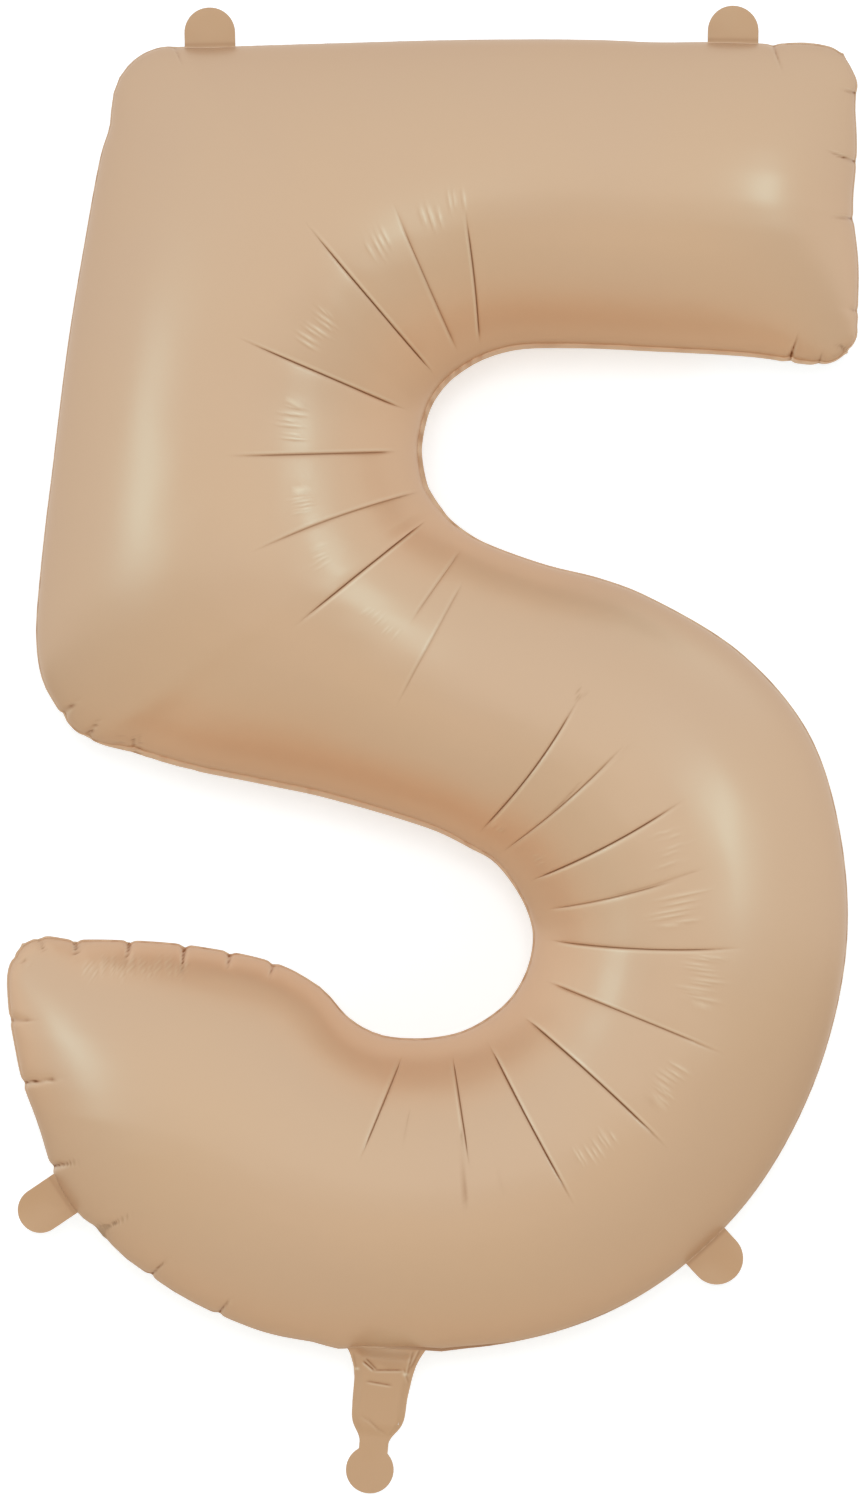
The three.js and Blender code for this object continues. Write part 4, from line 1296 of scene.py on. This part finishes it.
frontFoil = filmMaterial("satin_foil_front", *foil["front"])
backFoil = filmMaterial("satin_foil_back", *foil["back"])
weldedFoil = filmMaterial("satin_foil_welded", *foil["welded"])
milkyFilm = filmMaterial("milky_valve_film", *foil["milky"], marked=False)


def dress(piece, material):
    piece.data.materials.clear()
    piece.data.materials.append(material)


dress(frontFilm, frontFoil)
dress(backFilm, backFoil)
for piece in [*tabPieces.values(), tailFront, tailBack, endPiece]:
    dress(piece, weldedFoil)
for node in ("valve_front_film", "valve_back_film", "neck_valve_front_film", "neck_valve_back_film"):
    for slot in frame["nodes"][node].material_slots:
        slot.material = milkyFilm

print("materials set")

stage = {
    # name: place, aim, width, height or none for a square, power, colour, seen in reflections
    "lights": {
        "key": ((-0.03, -3.3, 0.3), (0, 0, 0), 0.55, None, 30.0, (1, 1, 1), False),
        "left_box": ((-1.92, -1.1, 0.22), (0, 0, 0.1), 0.45, 0.65, 3.2 * 0.72, (0.38, 0.95, 1.3), True),
        "right_box": ((1.7, -1.9, 0.5), (0, 0, 0.1), 0.45, 0.6, 3.2, (0.38, 0.95, 1.3), True),
    },
    "worldLevel": 0.70,
    "backdropColour": (0.76, 0.82, 0.87, 1),
    "backdropGlow": 0.47,
    "backdropSize": 6.0,
    "backdropY": 0.112,
    "floorColour": (0.88, 0.79, 0.68, 1),
    "floorGlow": 0.4,
    "floorSize": 12.0,
    "floorZ": -1.1,
    "white": (1, 1, 1, 1),
}


def mathNode(tree, operation):
    return newNode(tree, "ShaderNodeMath", operation=operation)


def addWorld():
    # full white to the camera and in reflections, softer as a light
    world = bpy.data.worlds.new("studio")
    bpy.context.scene.world = world
    world.use_nodes = True
    tree = world.node_tree
    tree.nodes.clear()
    out = newNode(tree, "ShaderNodeOutputWorld")
    seen = newNode(tree, "ShaderNodeBackground", Color=stage["white"], Strength=1.0)
    soft = newNode(tree, "ShaderNodeBackground", Color=stage["white"], Strength=stage["worldLevel"])
    path = newNode(tree, "ShaderNodeLightPath")
    either, also = mathNode(tree, "MAXIMUM"), mathNode(tree, "MAXIMUM")
    mix = newNode(tree, "ShaderNodeMixShader")
    link(tree, path, "Is Camera Ray", either, 0)
    link(tree, path, "Is Glossy Ray", either, 1)
    link(tree, either, 0, also, 0)
    link(tree, path, "Is Transmission Ray", also, 1)
    link(tree, also, 0, mix, 0)
    link(tree, soft, 0, mix, 1)
    link(tree, seen, 0, mix, 2)
    link(tree, mix, 0, out, "Surface")


def addArea(name, place, aim, wide, tall, power, colour, glossy):
    data = bpy.data.lights.new(name, "AREA")
    data.color = colour
    data.energy = power
    data.size = wide
    if tall:
        data.shape = "RECTANGLE"
        data.size_y = tall
    lamp = bpy.data.objects.new(name, data)
    lamp.location = place
    way = Vector(aim) - Vector(place)
    lamp.rotation_euler = way.to_track_quat("-Z", "Y").to_euler()
    lamp.visible_glossy = glossy
    bpy.context.collection.objects.link(lamp)


def plainSheet(name, size, place, upright):
    deselectAll()
    bpy.ops.mesh.primitive_plane_add(size=size, location=place)
    sheet = bpy.context.active_object
    sheet.name = name
    if upright:
        sheet.rotation_euler = (math.pi / 2, 0, 0)
    bpy.ops.object.transform_apply(location=True, rotation=True, scale=True)
    return sheet


def backdropPaper():
    # seen by the camera from the front only, so that it doesn't light the film
    material, tree, out = newMaterial("backdrop_paper")
    paper = newNode(tree, "ShaderNodeBsdfDiffuse", Color=stage["backdropColour"])
    glow = newNode(tree, "ShaderNodeEmission", Color=stage["white"], Strength=stage["backdropGlow"])
    lit = newNode(tree, "ShaderNodeAddShader")
    path = newNode(tree, "ShaderNodeLightPath")
    facing = newNode(tree, "ShaderNodeNewGeometry")
    front, both = mathNode(tree, "SUBTRACT"), mathNode(tree, "MULTIPLY")
    front.inputs[0].default_value = 1
    clear = newNode(tree, "ShaderNodeBsdfTransparent")
    mix = newNode(tree, "ShaderNodeMixShader")
    link(tree, paper, 0, lit, 0)
    link(tree, glow, 0, lit, 1)
    link(tree, facing, "Backfacing", front, 1)
    link(tree, front, 0, both, 0)
    link(tree, path, "Is Camera Ray", both, 1)
    link(tree, both, 0, mix, 0)
    link(tree, clear, 0, mix, 1)
    link(tree, lit, 0, mix, 2)
    link(tree, mix, 0, out, "Surface")
    return material


def floorPaper():
    # glows a little in reflections
    material, tree, out = newMaterial("floor_paper")
    paper = newNode(tree, "ShaderNodeBsdfDiffuse", Color=stage["floorColour"])
    glow = newNode(tree, "ShaderNodeEmission", Color=stage["floorColour"])
    path = newNode(tree, "ShaderNodeLightPath")
    seen, part = mathNode(tree, "MAXIMUM"), mathNode(tree, "MULTIPLY")
    part.inputs[1].default_value = stage["floorGlow"]
    mix = newNode(tree, "ShaderNodeMixShader")
    link(tree, path, "Is Glossy Ray", seen, 0)
    link(tree, path, "Is Transmission Ray", seen, 1)
    link(tree, seen, 0, part, 0)
    link(tree, part, 0, mix, 0)
    link(tree, paper, 0, mix, 1)
    link(tree, glow, 0, mix, 2)
    link(tree, mix, 0, out, "Surface")
    return material


addWorld()
backdrop = plainSheet("backdrop", stage["backdropSize"], (0, stage["backdropY"], 0), True)
dress(backdrop, backdropPaper())
floor = plainSheet("floor", stage["floorSize"], (0, 0, stage["floorZ"]), False)
dress(floor, floorPaper())
for name, settings in stage["lights"].items():
    addArea(name, *settings)
print("stage set")

bpy.context.scene.view_settings.view_transform = "Standard"
